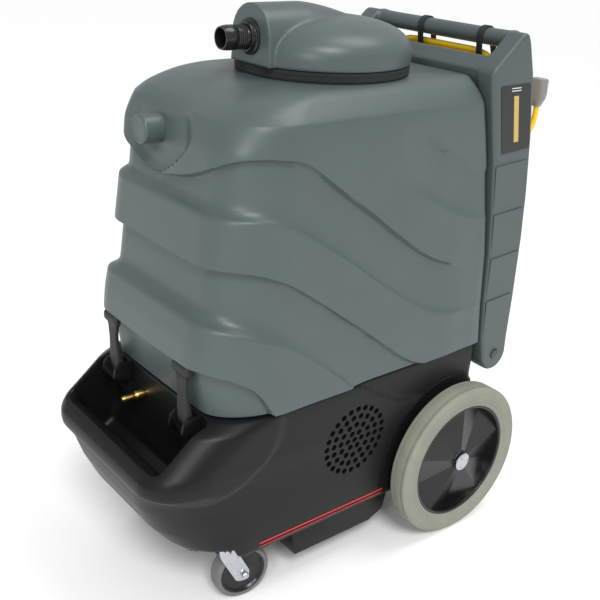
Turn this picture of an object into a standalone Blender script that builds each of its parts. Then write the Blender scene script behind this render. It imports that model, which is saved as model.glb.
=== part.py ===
"""Portable box carpet extractor: grey tank and handle frame that tilt back on a black base with wheels and casters.

Metres, +Z up, +X across the machine, the front (carry handle, draw latches) faces -Y.
The origin is on the floor, under the middle of the object. Each function below makes one sub-part.
"""

import math

import bmesh
import bpy
from mathutils import Matrix, Vector

# Driving dimensions
GAP = 0.0003
SEAM_Z = 0.374
TANK_TOP_Z = 0.870
AXLE_Y = 0.250
WHEEL_R = 0.1524
RIM_R = 0.115
WHEEL_OUT_X = 0.240
TYRE_WIDE = 0.044
AXLE_R = 0.008
CASTER_R = 0.0508
CASTER_X = 0.147
CASTER_Y = -0.202
CASTER_TRAIL = 0.034
CASTER_WIDE = 0.032
CASTER_TOP = 0.130
CASTER_TURN = {"left": math.radians(8), "right": math.radians(-8)}
PIVOT_Y, PIVOT_Z = 0.355, 0.338
LATCH_X = 0.112
LATCH_PIN_Y, LATCH_PIN_Z = -0.292, 0.366
LID_Y = 0.047
LID_R = 0.147
TANK_HOLE_R = 0.104
SNOUT_FRONT_Y = -0.101
SNOUT_Z = 0.929
SNOUT_R = 0.051
CUFF_R = 0.019
BAR_Y, BAR_Z, BAR_R = 0.334, 0.920, 0.019
UPRIGHT_IN, UPRIGHT_OUT = 0.160, 0.198
CORD_R = 0.00525
SIDES = (("left", -1), ("right", 1))

# Colours (linear), roughness and metallic value of each finish
FINISHES = {
    "tank_grey": ((0.115, 0.140, 0.142, 1), 0.50, 0),
    "frame_grey": ((0.110, 0.125, 0.125, 1), 0.55, 0),
    "base_black": ((0.018, 0.019, 0.020, 1), 0.50, 0),
    "tyre_grey": ((0.27, 0.28, 0.23, 1), 0.80, 0),
    "wheel_black": ((0.012, 0.012, 0.013, 1), 0.35, 0),
    "caster_grey": ((0.16, 0.17, 0.16, 1), 0.75, 0),
    "zinc": ((0.72, 0.74, 0.77, 1), 0.30, 1),
    "steel": ((0.55, 0.56, 0.57, 1), 0.35, 1),
    "brass": ((0.72, 0.52, 0.18, 1), 0.28, 1),
    "rubber_black": ((0.014, 0.014, 0.014, 1), 0.70, 0),
    "foam_black": ((0.020, 0.021, 0.022, 1), 0.95, 0),
    "gloss_black": ((0.010, 0.010, 0.011, 1), 0.25, 0),
    "label_black": ((0.012, 0.011, 0.012, 1), 0.30, 0),
    "rocker_red": ((0.50, 0.02, 0.015, 1), 0.35, 0),
    "gauge_white": ((0.75, 0.76, 0.75, 1), 0.30, 0),
    "pipe_white": ((0.62, 0.63, 0.61, 1), 0.45, 0),
    "hose_grey": ((0.20, 0.20, 0.20, 1), 0.60, 0),
    "pump_blue": ((0.05, 0.07, 0.10, 1), 0.40, 0),
    "cord_yellow": ((0.80, 0.52, 0.01, 1), 0.45, 0),
    "plug_clear": ((0.55, 0.53, 0.50, 1), 0.20, 0),
}


def clear_scene():
    for obj in list(bpy.data.objects):
        bpy.data.objects.remove(obj, do_unlink=True)


def finish(name):
    material = bpy.data.materials.get(name)
    if material:
        return material
    colour, roughness, metallic = FINISHES[name]
    material = bpy.data.materials.new(name)
    material.use_nodes = True
    shader = material.node_tree.nodes["Principled BSDF"]
    shader.inputs["Base Color"].default_value = colour
    shader.inputs["Roughness"].default_value = roughness
    shader.inputs["Metallic"].default_value = metallic
    return material


def empty(name, at=(0, 0, 0), parent=None):
    holder = bpy.data.objects.new(name, None)
    bpy.context.scene.collection.objects.link(holder)
    holder.location = at
    holder.parent = parent
    return holder


def object_of(bm, name, look=None, parent=None, at=(0, 0, 0), turn=0.0):
    """An object from a bmesh drawn about the object's own origin, set at a place and turned about Z."""
    bmesh.ops.recalc_face_normals(bm, faces=bm.faces)
    mesh = bpy.data.meshes.new(name)
    bm.to_mesh(mesh)
    bm.free()
    obj = bpy.data.objects.new(name, mesh)
    bpy.context.scene.collection.objects.link(obj)
    obj.location = at
    obj.rotation_euler.z = turn
    if look:
        mesh.materials.append(finish(look))
        mesh.shade_smooth()
        mesh.set_sharp_from_angle(angle=math.radians(35))
        obj.parent = parent
    else:
        obj.hide_render = True
        obj.display_type = "WIRE"
    return obj


def combine(obj, other, operation="DIFFERENCE"):
    """Cuts a helper from an object, or joins it, with a live Boolean."""
    other.parent = obj.parent
    other.hide_render = True
    other.display_type = "WIRE"
    modifier = obj.modifiers.new(operation.lower(), "BOOLEAN")
    modifier.operation = operation
    modifier.object = other
    modifier.solver = "EXACT"
    return obj


def box(low, high):
    bm = bmesh.new()
    bmesh.ops.create_cube(bm, size=1)
    low, high = Vector(low), Vector(high)
    for vert in bm.verts:
        vert.co = Vector(low[i] + (vert.co[i] + 0.5) * (high[i] - low[i]) for i in range(3))
    return bm


AXIS_TURN = {
    "X": Matrix.Rotation(math.radians(90), 4, "Y"),
    "Y": Matrix.Rotation(math.radians(-90), 4, "X"),
    "Z": Matrix.Identity(4),
}


def turned(profile, axis="Z", sides=24, at=(0, 0, 0)):
    """A solid of revolution. The profile lists (radius, distance along the axis) round a closed outline."""
    bm = bmesh.new()
    rings = []
    for radius, along in profile:
        if radius < 1e-6:
            rings.append([bm.verts.new((0, 0, along))] * sides)
            continue
        angles = (2 * math.pi * i / sides for i in range(sides))
        rings.append([bm.verts.new((radius * math.cos(a), radius * math.sin(a), along)) for a in angles])
    for ring, after in zip(rings, rings[1:] + rings[:1]):
        for i in range(sides):
            j = (i + 1) % sides
            corners = []
            for vert in (ring[i], ring[j], after[j], after[i]):
                if vert not in corners:
                    corners.append(vert)
            if len(corners) > 2:
                bm.faces.new(corners)
    bm.transform(Matrix.Translation(at) @ AXIS_TURN[axis])
    return bm


def rod(radius, start, end, axis="Z", at=(0, 0, 0), sides=24):
    return turned([(0, start), (radius, start), (radius, end), (0, end)], axis, sides, at)


def pipe(outer, inner, start, end, axis="Z", at=(0, 0, 0), sides=24):
    return turned([(inner, start), (outer, start), (outer, end), (inner, end)], axis, sides, at)


def slab(outline, low, high, axis="X"):
    """A flat outline pushed along an axis. X takes (y, z) points, Y takes (x, z) and Z takes (x, y)."""
    place = {
        "X": lambda a, b, t: (t, a, b),
        "Y": lambda a, b, t: (a, t, b),
        "Z": lambda a, b, t: (a, b, t),
    }[axis]
    bm = bmesh.new()
    near = [bm.verts.new(place(a, b, low)) for a, b in outline]
    far = [bm.verts.new(place(a, b, high)) for a, b in outline]
    bm.faces.new(near)
    bm.faces.new(far)
    for i in range(len(outline)):
        j = (i + 1) % len(outline)
        bm.faces.new((near[i], near[j], far[j], far[i]))
    return bm


def arc(centre, radius, start, end, steps):
    """Points on an arc in a plane, with angles in degrees."""
    angles = (math.radians(start + (end - start) * i / steps) for i in range(steps + 1))
    return [(centre[0] + radius * math.cos(a), centre[1] + radius * math.sin(a)) for a in angles]


def plan(half, front, rear, corner_x, corner_y, rear_corner, z, steps=8):
    """A closed plan outline at one height: elliptical front corners and round rear ones."""
    points = []
    for i in range(steps + 1):
        a = math.radians(90 * i / steps)
        points.append((half - corner_x * (1 - math.sin(a)), front + corner_y * (1 - math.cos(a)), z))
    for i in range(steps // 2 + 1):
        a = math.radians(90 * i / (steps // 2))
        points.append((half - rear_corner * (1 - math.cos(a)), rear - rear_corner * (1 - math.sin(a)), z))
    mirrored = [(-x, y, z) for x, y, z in reversed(points)]
    return points + mirrored


def loft(rings):
    """A closed skin over rings with equal point counts."""
    bm = bmesh.new()
    rows = [[bm.verts.new(point) for point in ring] for ring in rings]
    for row, after in zip(rows, rows[1:]):
        for i in range(len(row)):
            j = (i + 1) % len(row)
            bm.faces.new((row[i], row[j], after[j], after[i]))
    bm.faces.new(rows[0])
    bm.faces.new(rows[-1])
    bmesh.ops.triangulate(bm, faces=[f for f in bm.faces if len(f.verts) > 4])
    return bm


def tube(name, points, radius, look, parent, resolution=2):
    """A round bar along a smooth curve through the points, as a POLY curve with filled caps."""
    line = smooth_line(points, radius * 5)
    curve = bpy.data.curves.new(name, "CURVE")
    curve.dimensions = "3D"
    curve.bevel_depth = radius
    curve.bevel_resolution = resolution
    curve.use_fill_caps = True
    spline = curve.splines.new("POLY")
    spline.points.add(len(line) - 1)
    for point, place in zip(spline.points, line):
        point.co = (*place, 1)
    curve.materials.append(finish(look))
    obj = bpy.data.objects.new(name, curve)
    bpy.context.scene.collection.objects.link(obj)
    obj.parent = parent
    return obj


def smooth_line(points, spacing):
    """Evenly spaced points on the Catmull-Rom curve through the given ones."""
    points = [Vector(p) for p in points]
    padded = [2 * points[0] - points[1], *points, 2 * points[-1] - points[-2]]
    fine = []
    for a, b, c, d in zip(padded, padded[1:], padded[2:], padded[3:]):
        for i in range(16):
            t = i / 16
            along = (c - a) * t + (2 * a - 5 * b + 4 * c - d) * t * t + (3 * b - a - 3 * c + d) * t**3
            fine.append(b + along / 2)
    fine.append(points[-1])
    lengths = [0.0]
    for before, after in zip(fine, fine[1:]):
        lengths.append(lengths[-1] + (after - before).length)
    count = max(2, round(lengths[-1] / spacing))
    line = []
    k = 0
    for i in range(count + 1):
        wanted = lengths[-1] * i / count
        while k < len(fine) - 2 and lengths[k + 1] < wanted:
            k += 1
        share = (wanted - lengths[k]) / (lengths[k + 1] - lengths[k])
        line.append(fine[k].lerp(fine[k + 1], share))
    return line


# Tank: (height, half width, front, rear, front corner across, front corner along)
TANK_STATIONS = (
    (SEAM_Z + 0.003, 0.198, -0.270, 0.306, 0.075, 0.125),
    (0.452, 0.197, -0.285, 0.300, 0.075, 0.120),
    (0.472, 0.197, -0.287, 0.299, 0.075, 0.118),
    (0.476, 0.198, -0.299, 0.299, 0.078, 0.125),
    (0.546, 0.196, -0.289, 0.297, 0.078, 0.120),
    (0.553, 0.193, -0.268, 0.297, 0.075, 0.110),
    (0.622, 0.191, -0.260, 0.288, 0.075, 0.105),
    (0.632, 0.193, -0.274, 0.287, 0.078, 0.112),
    (0.704, 0.191, -0.264, 0.276, 0.078, 0.105),
    (0.711, 0.189, -0.248, 0.275, 0.075, 0.098),
    (0.748, 0.189, -0.244, 0.268, 0.075, 0.095),
    (0.770, 0.190, -0.256, 0.263, 0.078, 0.100),
    (0.795, 0.190, -0.255, 0.258, 0.078, 0.098),
    (0.825, 0.188, -0.241, 0.252, 0.080, 0.098),
    (0.848, 0.176, -0.214, 0.247, 0.080, 0.090),
    (0.863, 0.156, -0.176, 0.243, 0.075, 0.080),
    (TANK_TOP_Z, 0.140, -0.135, 0.239, 0.070, 0.070),
)
TANK_WALL = 0.006


def tank_shell(parent):
    """Moulded tank: bands and a shoulder in front, a blind boss, and a round opening under the lid."""
    rings = [plan(h, f, r, cx, cy, 0.022, z) for z, h, f, r, cx, cy in TANK_STATIONS]
    shell = object_of(loft(rings), "tank_shell", "tank_grey", parent)
    boss = rod(0.025, 0, 0.060, "Y", (-0.050, -0.282, 0.793), 20)
    combine(shell, object_of(boss, "boss_form"), "UNION")
    inner = []
    for z, half, front, rear in (
        (0.385, 0.190, -0.262, 0.298),
        (0.440, 0.189, -0.274, 0.294),
        (0.560, 0.185, -0.256, 0.288),
        (0.740, 0.181, -0.236, 0.262),
        (0.820, 0.180, -0.232, 0.246),
        (0.846, 0.166, -0.205, 0.240),
        (0.862, 0.136, -0.135, 0.234),
    ):
        inner.append(plan(half, front, rear, 0.070, 0.100, 0.020, z, 4))
    combine(shell, object_of(loft(inner), "tank_hollow"))
    mouth = rod(TANK_HOLE_R, 0.850, 0.900, "Z", (0, LID_Y, 0), 40)
    combine(shell, object_of(mouth, "tank_mouth"))
    return shell


def standpipe(parent):
    """Vacuum standpipe from the tank floor into the dome, and the float shut-off beside its head."""
    foot = turned(
        [(0.026, 0.3853), (0.044, 0.3853), (0.044, 0.391), (0.0302, 0.391), (0.0302, 0.845), (0.026, 0.845)],
        "Z", 16, (0.045, 0.085, 0),
    )
    object_of(foot, "standpipe", "pipe_white", parent)
    cage = turned(
        [(0.0260, 0.8453), (0.0340, 0.8453), (0.0340, 0.893), (0.0310, 0.893), (0.0310, 0.8493), (0.0260, 0.8493)],
        "Z", 16, (0.045, 0.085, 0),
    )
    object_of(cage, "float_cage", "hose_grey", parent)
    ball = bmesh.new()
    bmesh.ops.create_icosphere(ball, subdivisions=2, radius=0.0285)
    object_of(ball, "float_ball", "pipe_white", parent, (0.045, 0.085, 0.8715))


def snout_arch(radius, bottom):
    return [*arc((0, SNOUT_Z), radius, 0, 180, 12), (-radius - 0.002, bottom), (radius + 0.002, bottom)]


def snout_body(radius, bottom, front, ridge, tail, tail_drop):
    """The arch pushed back along Y: its ridge slopes down to the dome from ridge to tail."""
    outline = snout_arch(radius, bottom)
    bm = bmesh.new()
    rows = []
    for y, drop in ((front, 0), (ridge, 0), (tail, tail_drop)):
        rows.append([bm.verts.new((x, y, max(bottom, z - drop))) for x, z in outline])
    for row, after in zip(rows, rows[1:]):
        for i in range(len(outline)):
            j = (i + 1) % len(outline)
            bm.faces.new((row[i], row[j], after[j], after[i]))
    bm.faces.new(rows[0])
    bm.faces.new(rows[-1])
    return bm


DOME_PROFILE = (
    (LID_R, 0.8870), (LID_R, 0.9050), (0.1440, 0.9200), (0.1330, 0.9340), (0.1050, 0.9480), (0.0600, 0.9560),
)
LID_WALL = 0.005


def dome_lid(parent):
    """Domed vacuum lid with a snout in front that holds the hose cuff. It is open underneath."""
    outer = [(0, 0.887), *DOME_PROFILE, (0, 0.958)]
    lid = object_of(turned(outer, "Z", 36, (0, LID_Y, 0)), "dome_lid", "tank_grey", parent)
    snout = snout_body(SNOUT_R, 0.887, SNOUT_FRONT_Y, 0.000, 0.115, 0.028)
    combine(lid, object_of(snout, "snout_form"), "UNION")
    inner = [(0, 0.880)] + [(r - LID_WALL, z - (0.007 if z < 0.9 else LID_WALL)) for r, z in DOME_PROFILE]
    hollow = turned([*inner, (0, 0.953)], "Z", 24, (0, LID_Y, 0))
    combine(lid, object_of(hollow, "dome_hollow"))
    throat = snout_body(SNOUT_R - LID_WALL, 0.883, SNOUT_FRONT_Y + LID_WALL, -0.004, 0.105, 0.028)
    combine(lid, object_of(throat, "snout_hollow"))
    bore = rod(CUFF_R + GAP, -0.120, -0.080, "Y", (0, 0, SNOUT_Z), 20)
    combine(lid, object_of(bore, "cuff_bore"))
    ring = pipe(LID_R - 0.001, 0.120, TANK_TOP_Z + GAP, 0.887 - GAP, "Z", (0, LID_Y, 0), 36)
    object_of(ring, "lid_gasket", "foam_black", parent)
    face = SNOUT_FRONT_Y
    cuff = turned(
        [(0.0150, face - 0.055), (0.0175, face - 0.055), (0.0192, face - 0.045), (0.0192, face - 0.033),
         (0.0176, face - 0.031), (0.0176, face - 0.015), (CUFF_R, face - 0.013), (CUFF_R, face + 0.011),
         (0.0150, face + 0.011)],
        "Y", 20, (0, 0, SNOUT_Z),
    )
    object_of(cuff, "hose_cuff", "gloss_black", parent)
    nut = turned(
        [(CUFF_R + GAP, face - 0.0110), (0.0235, face - 0.0110), (0.0235, face - 0.0050), (0.0280, face - 0.0040),
         (0.0280, face - GAP), (CUFF_R + GAP, face - GAP)],
        "Y", 20, (0, 0, SNOUT_Z),
    )
    object_of(nut, "cuff_nut", "gloss_black", parent)


# Base: (height, half width, front, rear, front corner across, front corner along)
BASE_STATIONS = (
    (0.1045, 0.183, -0.282, 0.304, 0.065, 0.062),
    (0.112, 0.186, -0.297, 0.310, 0.072, 0.075),
    (0.134, 0.188, -0.322, 0.313, 0.080, 0.105),
    (0.166, 0.189, -0.347, 0.314, 0.080, 0.130),
    (0.216, 0.190, -0.371, 0.314, 0.080, 0.130),
    (0.250, 0.191, -0.380, 0.314, 0.075, 0.120),
    (0.262, 0.193, -0.390, 0.314, 0.070, 0.100),
    (0.286, 0.195, -0.390, 0.314, 0.065, 0.095),
    (0.300, 0.195, -0.378, 0.314, 0.065, 0.095),
    (0.320, 0.196, -0.354, 0.314, 0.065, 0.100),
    (0.357, 0.198, -0.312, 0.314, 0.070, 0.110),
    (SEAM_Z, 0.198, -0.276, 0.310, 0.075, 0.125),
)
POCKET_HALF = 0.155


def base_shell(parent):
    """Moulded chassis: a pocket behind the carry bar, wheel recesses, side vents and a hollow for the motors."""
    rings = [plan(h, f, r, cx, cy, 0.020, z) for z, h, f, r, cx, cy in BASE_STATIONS]
    shell = object_of(loft(rings), "base_shell", "base_black", parent)
    pocket = [
        (-0.272, 0.420), (-0.272, 0.250), (-0.284, 0.224), (-0.310, 0.214), (-0.334, 0.222),
        (-0.346, 0.250), (-0.346, 0.300), (-0.420, 0.312), (-0.420, 0.420),
    ]
    combine(shell, object_of(slab(pocket, -POCKET_HALF, POCKET_HALF), "front_pocket"))
    hollow = [plan(0.1815, -0.264, 0.304, 0.070, 0.125, 0.010, z, 6) for z in (0.137, 0.420)]
    combine(shell, object_of(loft(hollow), "motor_hollow"))
    lower = [
        (-0.108, 0.150), (-0.108, 0.122), (-0.096, 0.112), (-0.096, 0.060), (0.086, 0.060), (0.086, 0.112),
        (0.302, 0.112), (0.302, 0.150),
    ]
    combine(shell, object_of(slab(lower, -0.172, 0.172), "floor_hollow"))
    for side, sign in SIDES:
        arch = rod(WHEEL_R + 0.012, 0, 0.030, "X", (0.1865 if sign > 0 else -0.2165, AXLE_Y, WHEEL_R), 32)
        combine(shell, object_of(arch, f"wheel_recess_{side}"))
        low, high = sorted((sign * 0.1865, sign * 0.2165))
        lower = box((low, AXLE_Y, -0.020), (high, AXLE_Y + 0.180, 0.260))
        combine(shell, object_of(lower, f"wheel_clearance_{side}"))
    well = [
        plan(half, front, -0.118, across, deep, 0.010, z, 6)
        for half, front, across, deep, z in (
            (0.1790, -0.275, 0.060, 0.052, 0.060), (0.1790, -0.275, 0.060, 0.052, 0.1045),
            (0.1815, -0.289, 0.068, 0.065, 0.113), (0.1825, -0.304, 0.072, 0.085, CASTER_TOP),
        )
    ]
    combine(shell, object_of(loft(well), "caster_well"))
    nose = [
        plan(half, front, -0.281, 0.07, 0.010, 0.003, z, 6)
        for half, front, z in ((0.130, -0.296, 0.122), (0.130, -0.308, CASTER_TOP + 0.004), (0.140, -0.336, 0.165),
                               (0.146, -0.352, 0.204))
    ]
    combine(shell, object_of(loft(nose), "nose_hollow"))
    axle_hole = rod(AXLE_R + GAP, -0.25, 0.25, "X", (0, AXLE_Y, WHEEL_R), 16)
    combine(shell, object_of(axle_hole, "axle_hole"))
    nipple_hole = rod(0.0083, 0, 0.040, "Y", (-0.056, -0.290, 0.325), 16)
    combine(shell, object_of(nipple_hole, "nipple_hole"))
    lug_outline = [(0.308, 0.306), (0.340, 0.306), *arc((PIVOT_Y, PIVOT_Z), 0.020, -60, 120, 8), (0.308, 0.364)]
    for side, sign in SIDES:
        low, high = sorted((sign * 0.128, sign * 0.1575))
        combine(shell, object_of(slab(lug_outline, low, high), f"pivot_lug_{side}"), "UNION")
    bolt_hole = rod(0.0063, -0.17, 0.17, "X", (0, PIVOT_Y, PIVOT_Z), 16)
    combine(shell, object_of(bolt_hole, "bolt_hole"))
    return shell


def belly_pan(parent):
    """Cover under the motor compartment."""
    outer = [
        (-0.100, 0.1042), (-0.112, 0.1042), (-0.100, 0.048), (0.078, 0.048), (0.112, 0.062), (0.122, 0.1042),
    ]
    pan = object_of(slab(outer, -0.174, 0.174), "belly_pan", "base_black", parent)
    inner = [(-0.094, 0.130), (-0.094, 0.054), (0.074, 0.054), (0.104, 0.067), (0.108, 0.130)]
    combine(pan, object_of(slab(inner, -0.168, 0.168), "pan_hollow"))
    return pan


def rear_wheels(parent):
    axle = rod(AXLE_R, -WHEEL_OUT_X - 0.001, WHEEL_OUT_X + 0.001, "X", sides=20)
    object_of(axle, "rear_axle", "steel", parent, (0, AXLE_Y, WHEEL_R))
    for side, sign in SIDES:
        hub = empty(f"roll_{side}", (0, AXLE_Y, WHEEL_R), parent)
        out, inn = WHEEL_OUT_X, WHEEL_OUT_X - TYRE_WIDE
        tyre = [
            (RIM_R, inn + 0.004), (WHEEL_R - 0.010, inn), (WHEEL_R, inn + 0.009), (WHEEL_R, out - 0.009),
            (WHEEL_R - 0.010, out), (RIM_R, out - 0.004),
        ]
        rim = RIM_R - GAP
        wheel = [
            (AXLE_R + GAP, inn + 0.001), (0.024, inn + 0.001), (RIM_R - 0.010, inn + 0.016), (rim, inn + 0.005),
            (rim, out - 0.005), (RIM_R - 0.010, out - 0.022), (0.022, out - 0.002), (AXLE_R + GAP, out - 0.002),
        ]
        for name, profile, look in (("tyre", tyre, "tyre_grey"), ("wheel", wheel, "wheel_black")):
            placed = [(r, sign * x) for r, x in profile]
            object_of(turned(placed, "X", 32), f"{name}_{side}", look, hub)
        cap = [(0, out + 0.004), (0.0075, out + 0.004), (0.0125, out + 0.0012), (0.0125, out - 0.0012),
               (AXLE_R + GAP, out - 0.0012), (AXLE_R + GAP, out + 0.0013), (0, out + 0.0013)]
        cap = [(r, sign * x) for r, x in cap]
        object_of(turned(cap, "X", 20), f"axle_cap_{side}", "zinc", parent, (0, AXLE_Y, WHEEL_R))


def caster(side, sign, parent):
    """Swivel caster: top plate, fork with swivel disc, core, tread and axle bolt. The fork trails along local +Y."""
    turn = CASTER_TURN[side]
    swivel = (sign * CASTER_X, CASTER_Y, 0)
    offset = Matrix.Rotation(turn, 3, "Z") @ Vector((0, -CASTER_TRAIL, 0))
    swivel = (swivel[0] + offset.x, swivel[1] + offset.y, 0)
    top = CASTER_TOP - GAP
    plate = [(-0.022, -0.030), (0.022, -0.030), (0.022, 0.034), (-0.022, 0.034)]
    plate = object_of(slab(plate, top - 0.003, top, "Z"), f"caster_plate_{side}", "zinc", parent, swivel)
    race = rod(0.019, top - 0.007, top - 0.002, "Z", sides=20)
    combine(plate, object_of(race, f"caster_race_{side}", at=swivel), "UNION")
    turning = empty(f"swivel_{side}", swivel, parent)
    leg_in, leg_out = CASTER_WIDE / 2 + 0.002, CASTER_WIDE / 2 + 0.0045
    crown_top = top - 0.007 - GAP
    crown_low = crown_top - 0.003
    crown = rod(0.0215, crown_low, crown_top, "Z", sides=16)
    fork = object_of(crown, f"caster_fork_{side}", "zinc", turning, turn=turn)
    leg = [
        (-0.015, crown_top - 0.0005), (0.014, crown_top - 0.0005), (0.027, 0.088), (CASTER_TRAIL + 0.009, 0.057),
        (CASTER_TRAIL + 0.008, 0.043), (CASTER_TRAIL, 0.039), (0.018, 0.042), (-0.013, 0.101),
    ]
    for name, low, high in (("a", -leg_out, -leg_in), ("b", leg_in, leg_out)):
        flat = object_of(slab(leg, low, high), f"leg_{name}_{side}", at=swivel, turn=turn)
        combine(fork, flat, "UNION")
    bridge = box((-leg_out, -0.014, crown_low), (leg_out, 0.013, crown_top - 0.0004))
    combine(fork, object_of(bridge, f"bridge_{side}", at=swivel, turn=turn), "UNION")
    hole = rod(0.0043, -0.04, 0.04, "X", (0, CASTER_TRAIL, CASTER_R), 12)
    combine(fork, object_of(hole, f"fork_hole_{side}", at=swivel, turn=turn))
    for helper in (o for o in bpy.data.objects if o.parent is turning and o.hide_render):
        helper.location = (0, 0, 0)
    bolt = turned(
        [(0, -leg_out - 0.007), (0.0065, -leg_out - 0.007), (0.0065, -leg_out - GAP), (0.004, -leg_out - GAP),
         (0.004, leg_out + GAP), (0.0065, leg_out + GAP), (0.0065, leg_out + 0.006), (0, leg_out + 0.006)],
        "X", 12, (0, CASTER_TRAIL, CASTER_R),
    )
    object_of(bolt, f"caster_bolt_{side}", "zinc", turning, turn=turn)
    half = CASTER_WIDE / 2
    core_r = CASTER_R - 0.0095
    core = turned(
        [(0.0043, -half - 0.001), (0.010, -half + 0.004), (core_r - 0.006, -half + 0.006),
         (core_r - GAP, -half + 0.001), (core_r - GAP, half - 0.001), (core_r - 0.006, half - 0.006),
         (0.010, half - 0.004), (0.0043, half + 0.001)],
        "X", 20, (0, CASTER_TRAIL, CASTER_R),
    )
    object_of(core, f"caster_wheel_{side}", "wheel_black", turning, turn=turn)
    tread = turned(
        [(core_r, -half + 0.001), (CASTER_R, -half + 0.003), (CASTER_R, half - 0.003), (core_r, half - 0.001)],
        "X", 20, (0, CASTER_TRAIL, CASTER_R),
    )
    object_of(tread, f"caster_tread_{side}", "caster_grey", turning, turn=turn)


def solution_nipple(parent):
    """Stepped brass nipple through the pocket's back wall."""
    profile = [
        (0.0030, -0.314), (0.0048, -0.314), (0.0062, -0.308), (0.0048, -0.3075), (0.0062, -0.301),
        (0.0048, -0.3005), (0.0062, -0.294), (0.0055, -0.2935), (0.0055, -0.288), (0.0095, -0.288),
        (0.0095, -0.2726), (0.0080, -0.2726), (0.0080, -0.252), (0.0030, -0.252),
    ]
    object_of(turned(profile, "Y", 12, (-0.056, 0, 0.325)), "solution_nipple", "brass", parent)


def latch(side, sign, parent):
    """Rubber draw latch: a pinned foot in the base, a strap up the tank and a wide head."""
    x = sign * LATCH_X
    pin = (x, LATCH_PIN_Y, LATCH_PIN_Z)
    bracket = [(-0.2724, 0.3735), (-0.2724, 0.334), (-0.310, 0.348), (-0.306, 0.366), (-0.298, 0.3735)]
    bracket = object_of(slab(bracket, x - 0.022, x + 0.022), f"latch_bracket_{side}", "base_black", parent)
    slot = box((x - 0.0165, -0.320, 0.350), (x + 0.0165, -0.276, 0.400))
    combine(bracket, object_of(slot, f"latch_slot_{side}"))
    swing = empty(f"swing_{side}", pin, parent)
    strap = [
        (-0.0045, -0.0115), (-0.0055, 0.050), (-0.0060, 0.078), (-0.0115, 0.082), (-0.0115, 0.098),
        (0.0010, 0.098), (0.0015, 0.080), (0.0000, 0.070), (0.0020, 0.040), (0.0090, 0.014), (0.0085, -0.0115),
    ]
    strap = object_of(slab(strap, -0.0155, 0.0155), f"latch_strap_{side}", "rubber_black", swing)
    head = object_of(box((-0.0225, -0.0110, 0.0805), (0.0225, 0.0008, 0.0975)), f"latch_head_{side}", at=pin)
    combine(strap, head, "UNION")
    head.location = (0, 0, 0)


# Side view of an upright: (y, z) round its outline
UPRIGHT_OUTLINE = (
    (0.3195, 0.345), (0.3130, 0.379), (0.3060, 0.463), (0.3035, 0.542), (0.2950, 0.628), (0.2825, 0.723),
    (0.2510, 0.866), (0.2510, 0.877), (0.2560, 0.886), (0.3160, 0.9380), (0.3240, 0.9415), (0.3330, 0.9385),
    (0.3395, 0.925), (0.3570, 0.871), (0.3745, 0.760), (0.3850, 0.660), (0.3900, 0.567), (0.3905, 0.443),
    (0.3885, 0.371),
)
PANEL_FRONT = ((0.3090, 0.400), (0.3090, 0.463), (0.3070, 0.542), (0.2985, 0.628), (0.2860, 0.723), (0.2545, 0.868))
PANEL_THICK = 0.024


def handle_frame(parent):
    """Moulded rear frame: two deep uprights, the back panel between them, a cross member and the push bar."""
    outline = [*UPRIGHT_OUTLINE, *arc((PIVOT_Y, PIVOT_Z), 0.0345, -10, -165, 8)]
    frame = object_of(slab(outline, -UPRIGHT_OUT, -UPRIGHT_IN), "handle_frame", "frame_grey", parent)
    other = slab(outline, UPRIGHT_IN, UPRIGHT_OUT)
    combine(frame, object_of(other, "upright_right_form"), "UNION")
    back = [(y + PANEL_THICK, z) for y, z in reversed(PANEL_FRONT)]
    panel = [*PANEL_FRONT, (0.2545, 0.8800), (0.2770, 0.9020), (0.2860, 0.8950), *back]
    combine(frame, object_of(slab(panel, -0.170, 0.170), "panel_form"), "UNION")
    bar = rod(BAR_R, -0.170, 0.170, "X", (0, BAR_Y, BAR_Z), 24)
    combine(frame, object_of(bar, "bar_form"), "UNION")
    hole = rod(0.0063, -0.25, 0.25, "X", (0, PIVOT_Y, PIVOT_Z), 16)
    combine(frame, object_of(hole, "frame_bolt_hole"))
    gland_hole = rod(0.0085, 0.290, 0.350, "Y", (-0.118, 0, 0.560), 16)
    combine(frame, object_of(gland_hole, "gland_hole"))
    return frame


def pivot_bolt(side, sign, parent):
    head = [(0, 0.201), (0.0105, 0.201), (0.0105, UPRIGHT_OUT + GAP), (0.006, UPRIGHT_OUT + GAP),
            (0.006, 0.120), (0.010, 0.1195), (0.010, 0.112), (0, 0.112)]
    head = [(r, sign * x) for r, x in head]
    object_of(turned(head, "X", 16), f"pivot_bolt_{side}", "steel", parent, (0, PIVOT_Y, PIVOT_Z))


def side_label(side, sign, parent):
    """Printed plate on the upright's outer face."""
    outline = [(0.2725, 0.857), (0.2965, 0.738), (0.3705, 0.742), (0.3500, 0.858)]
    low, high = sorted((sign * (UPRIGHT_OUT + GAP), sign * (UPRIGHT_OUT + 0.0012)))
    object_of(slab(outline, low, high), f"side_label_{side}", "label_black", parent)


SWITCH_X = (-0.055, 0.0, 0.055)
SWITCH_Z = 0.500
PANEL_BACK_Y = 0.3332


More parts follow.
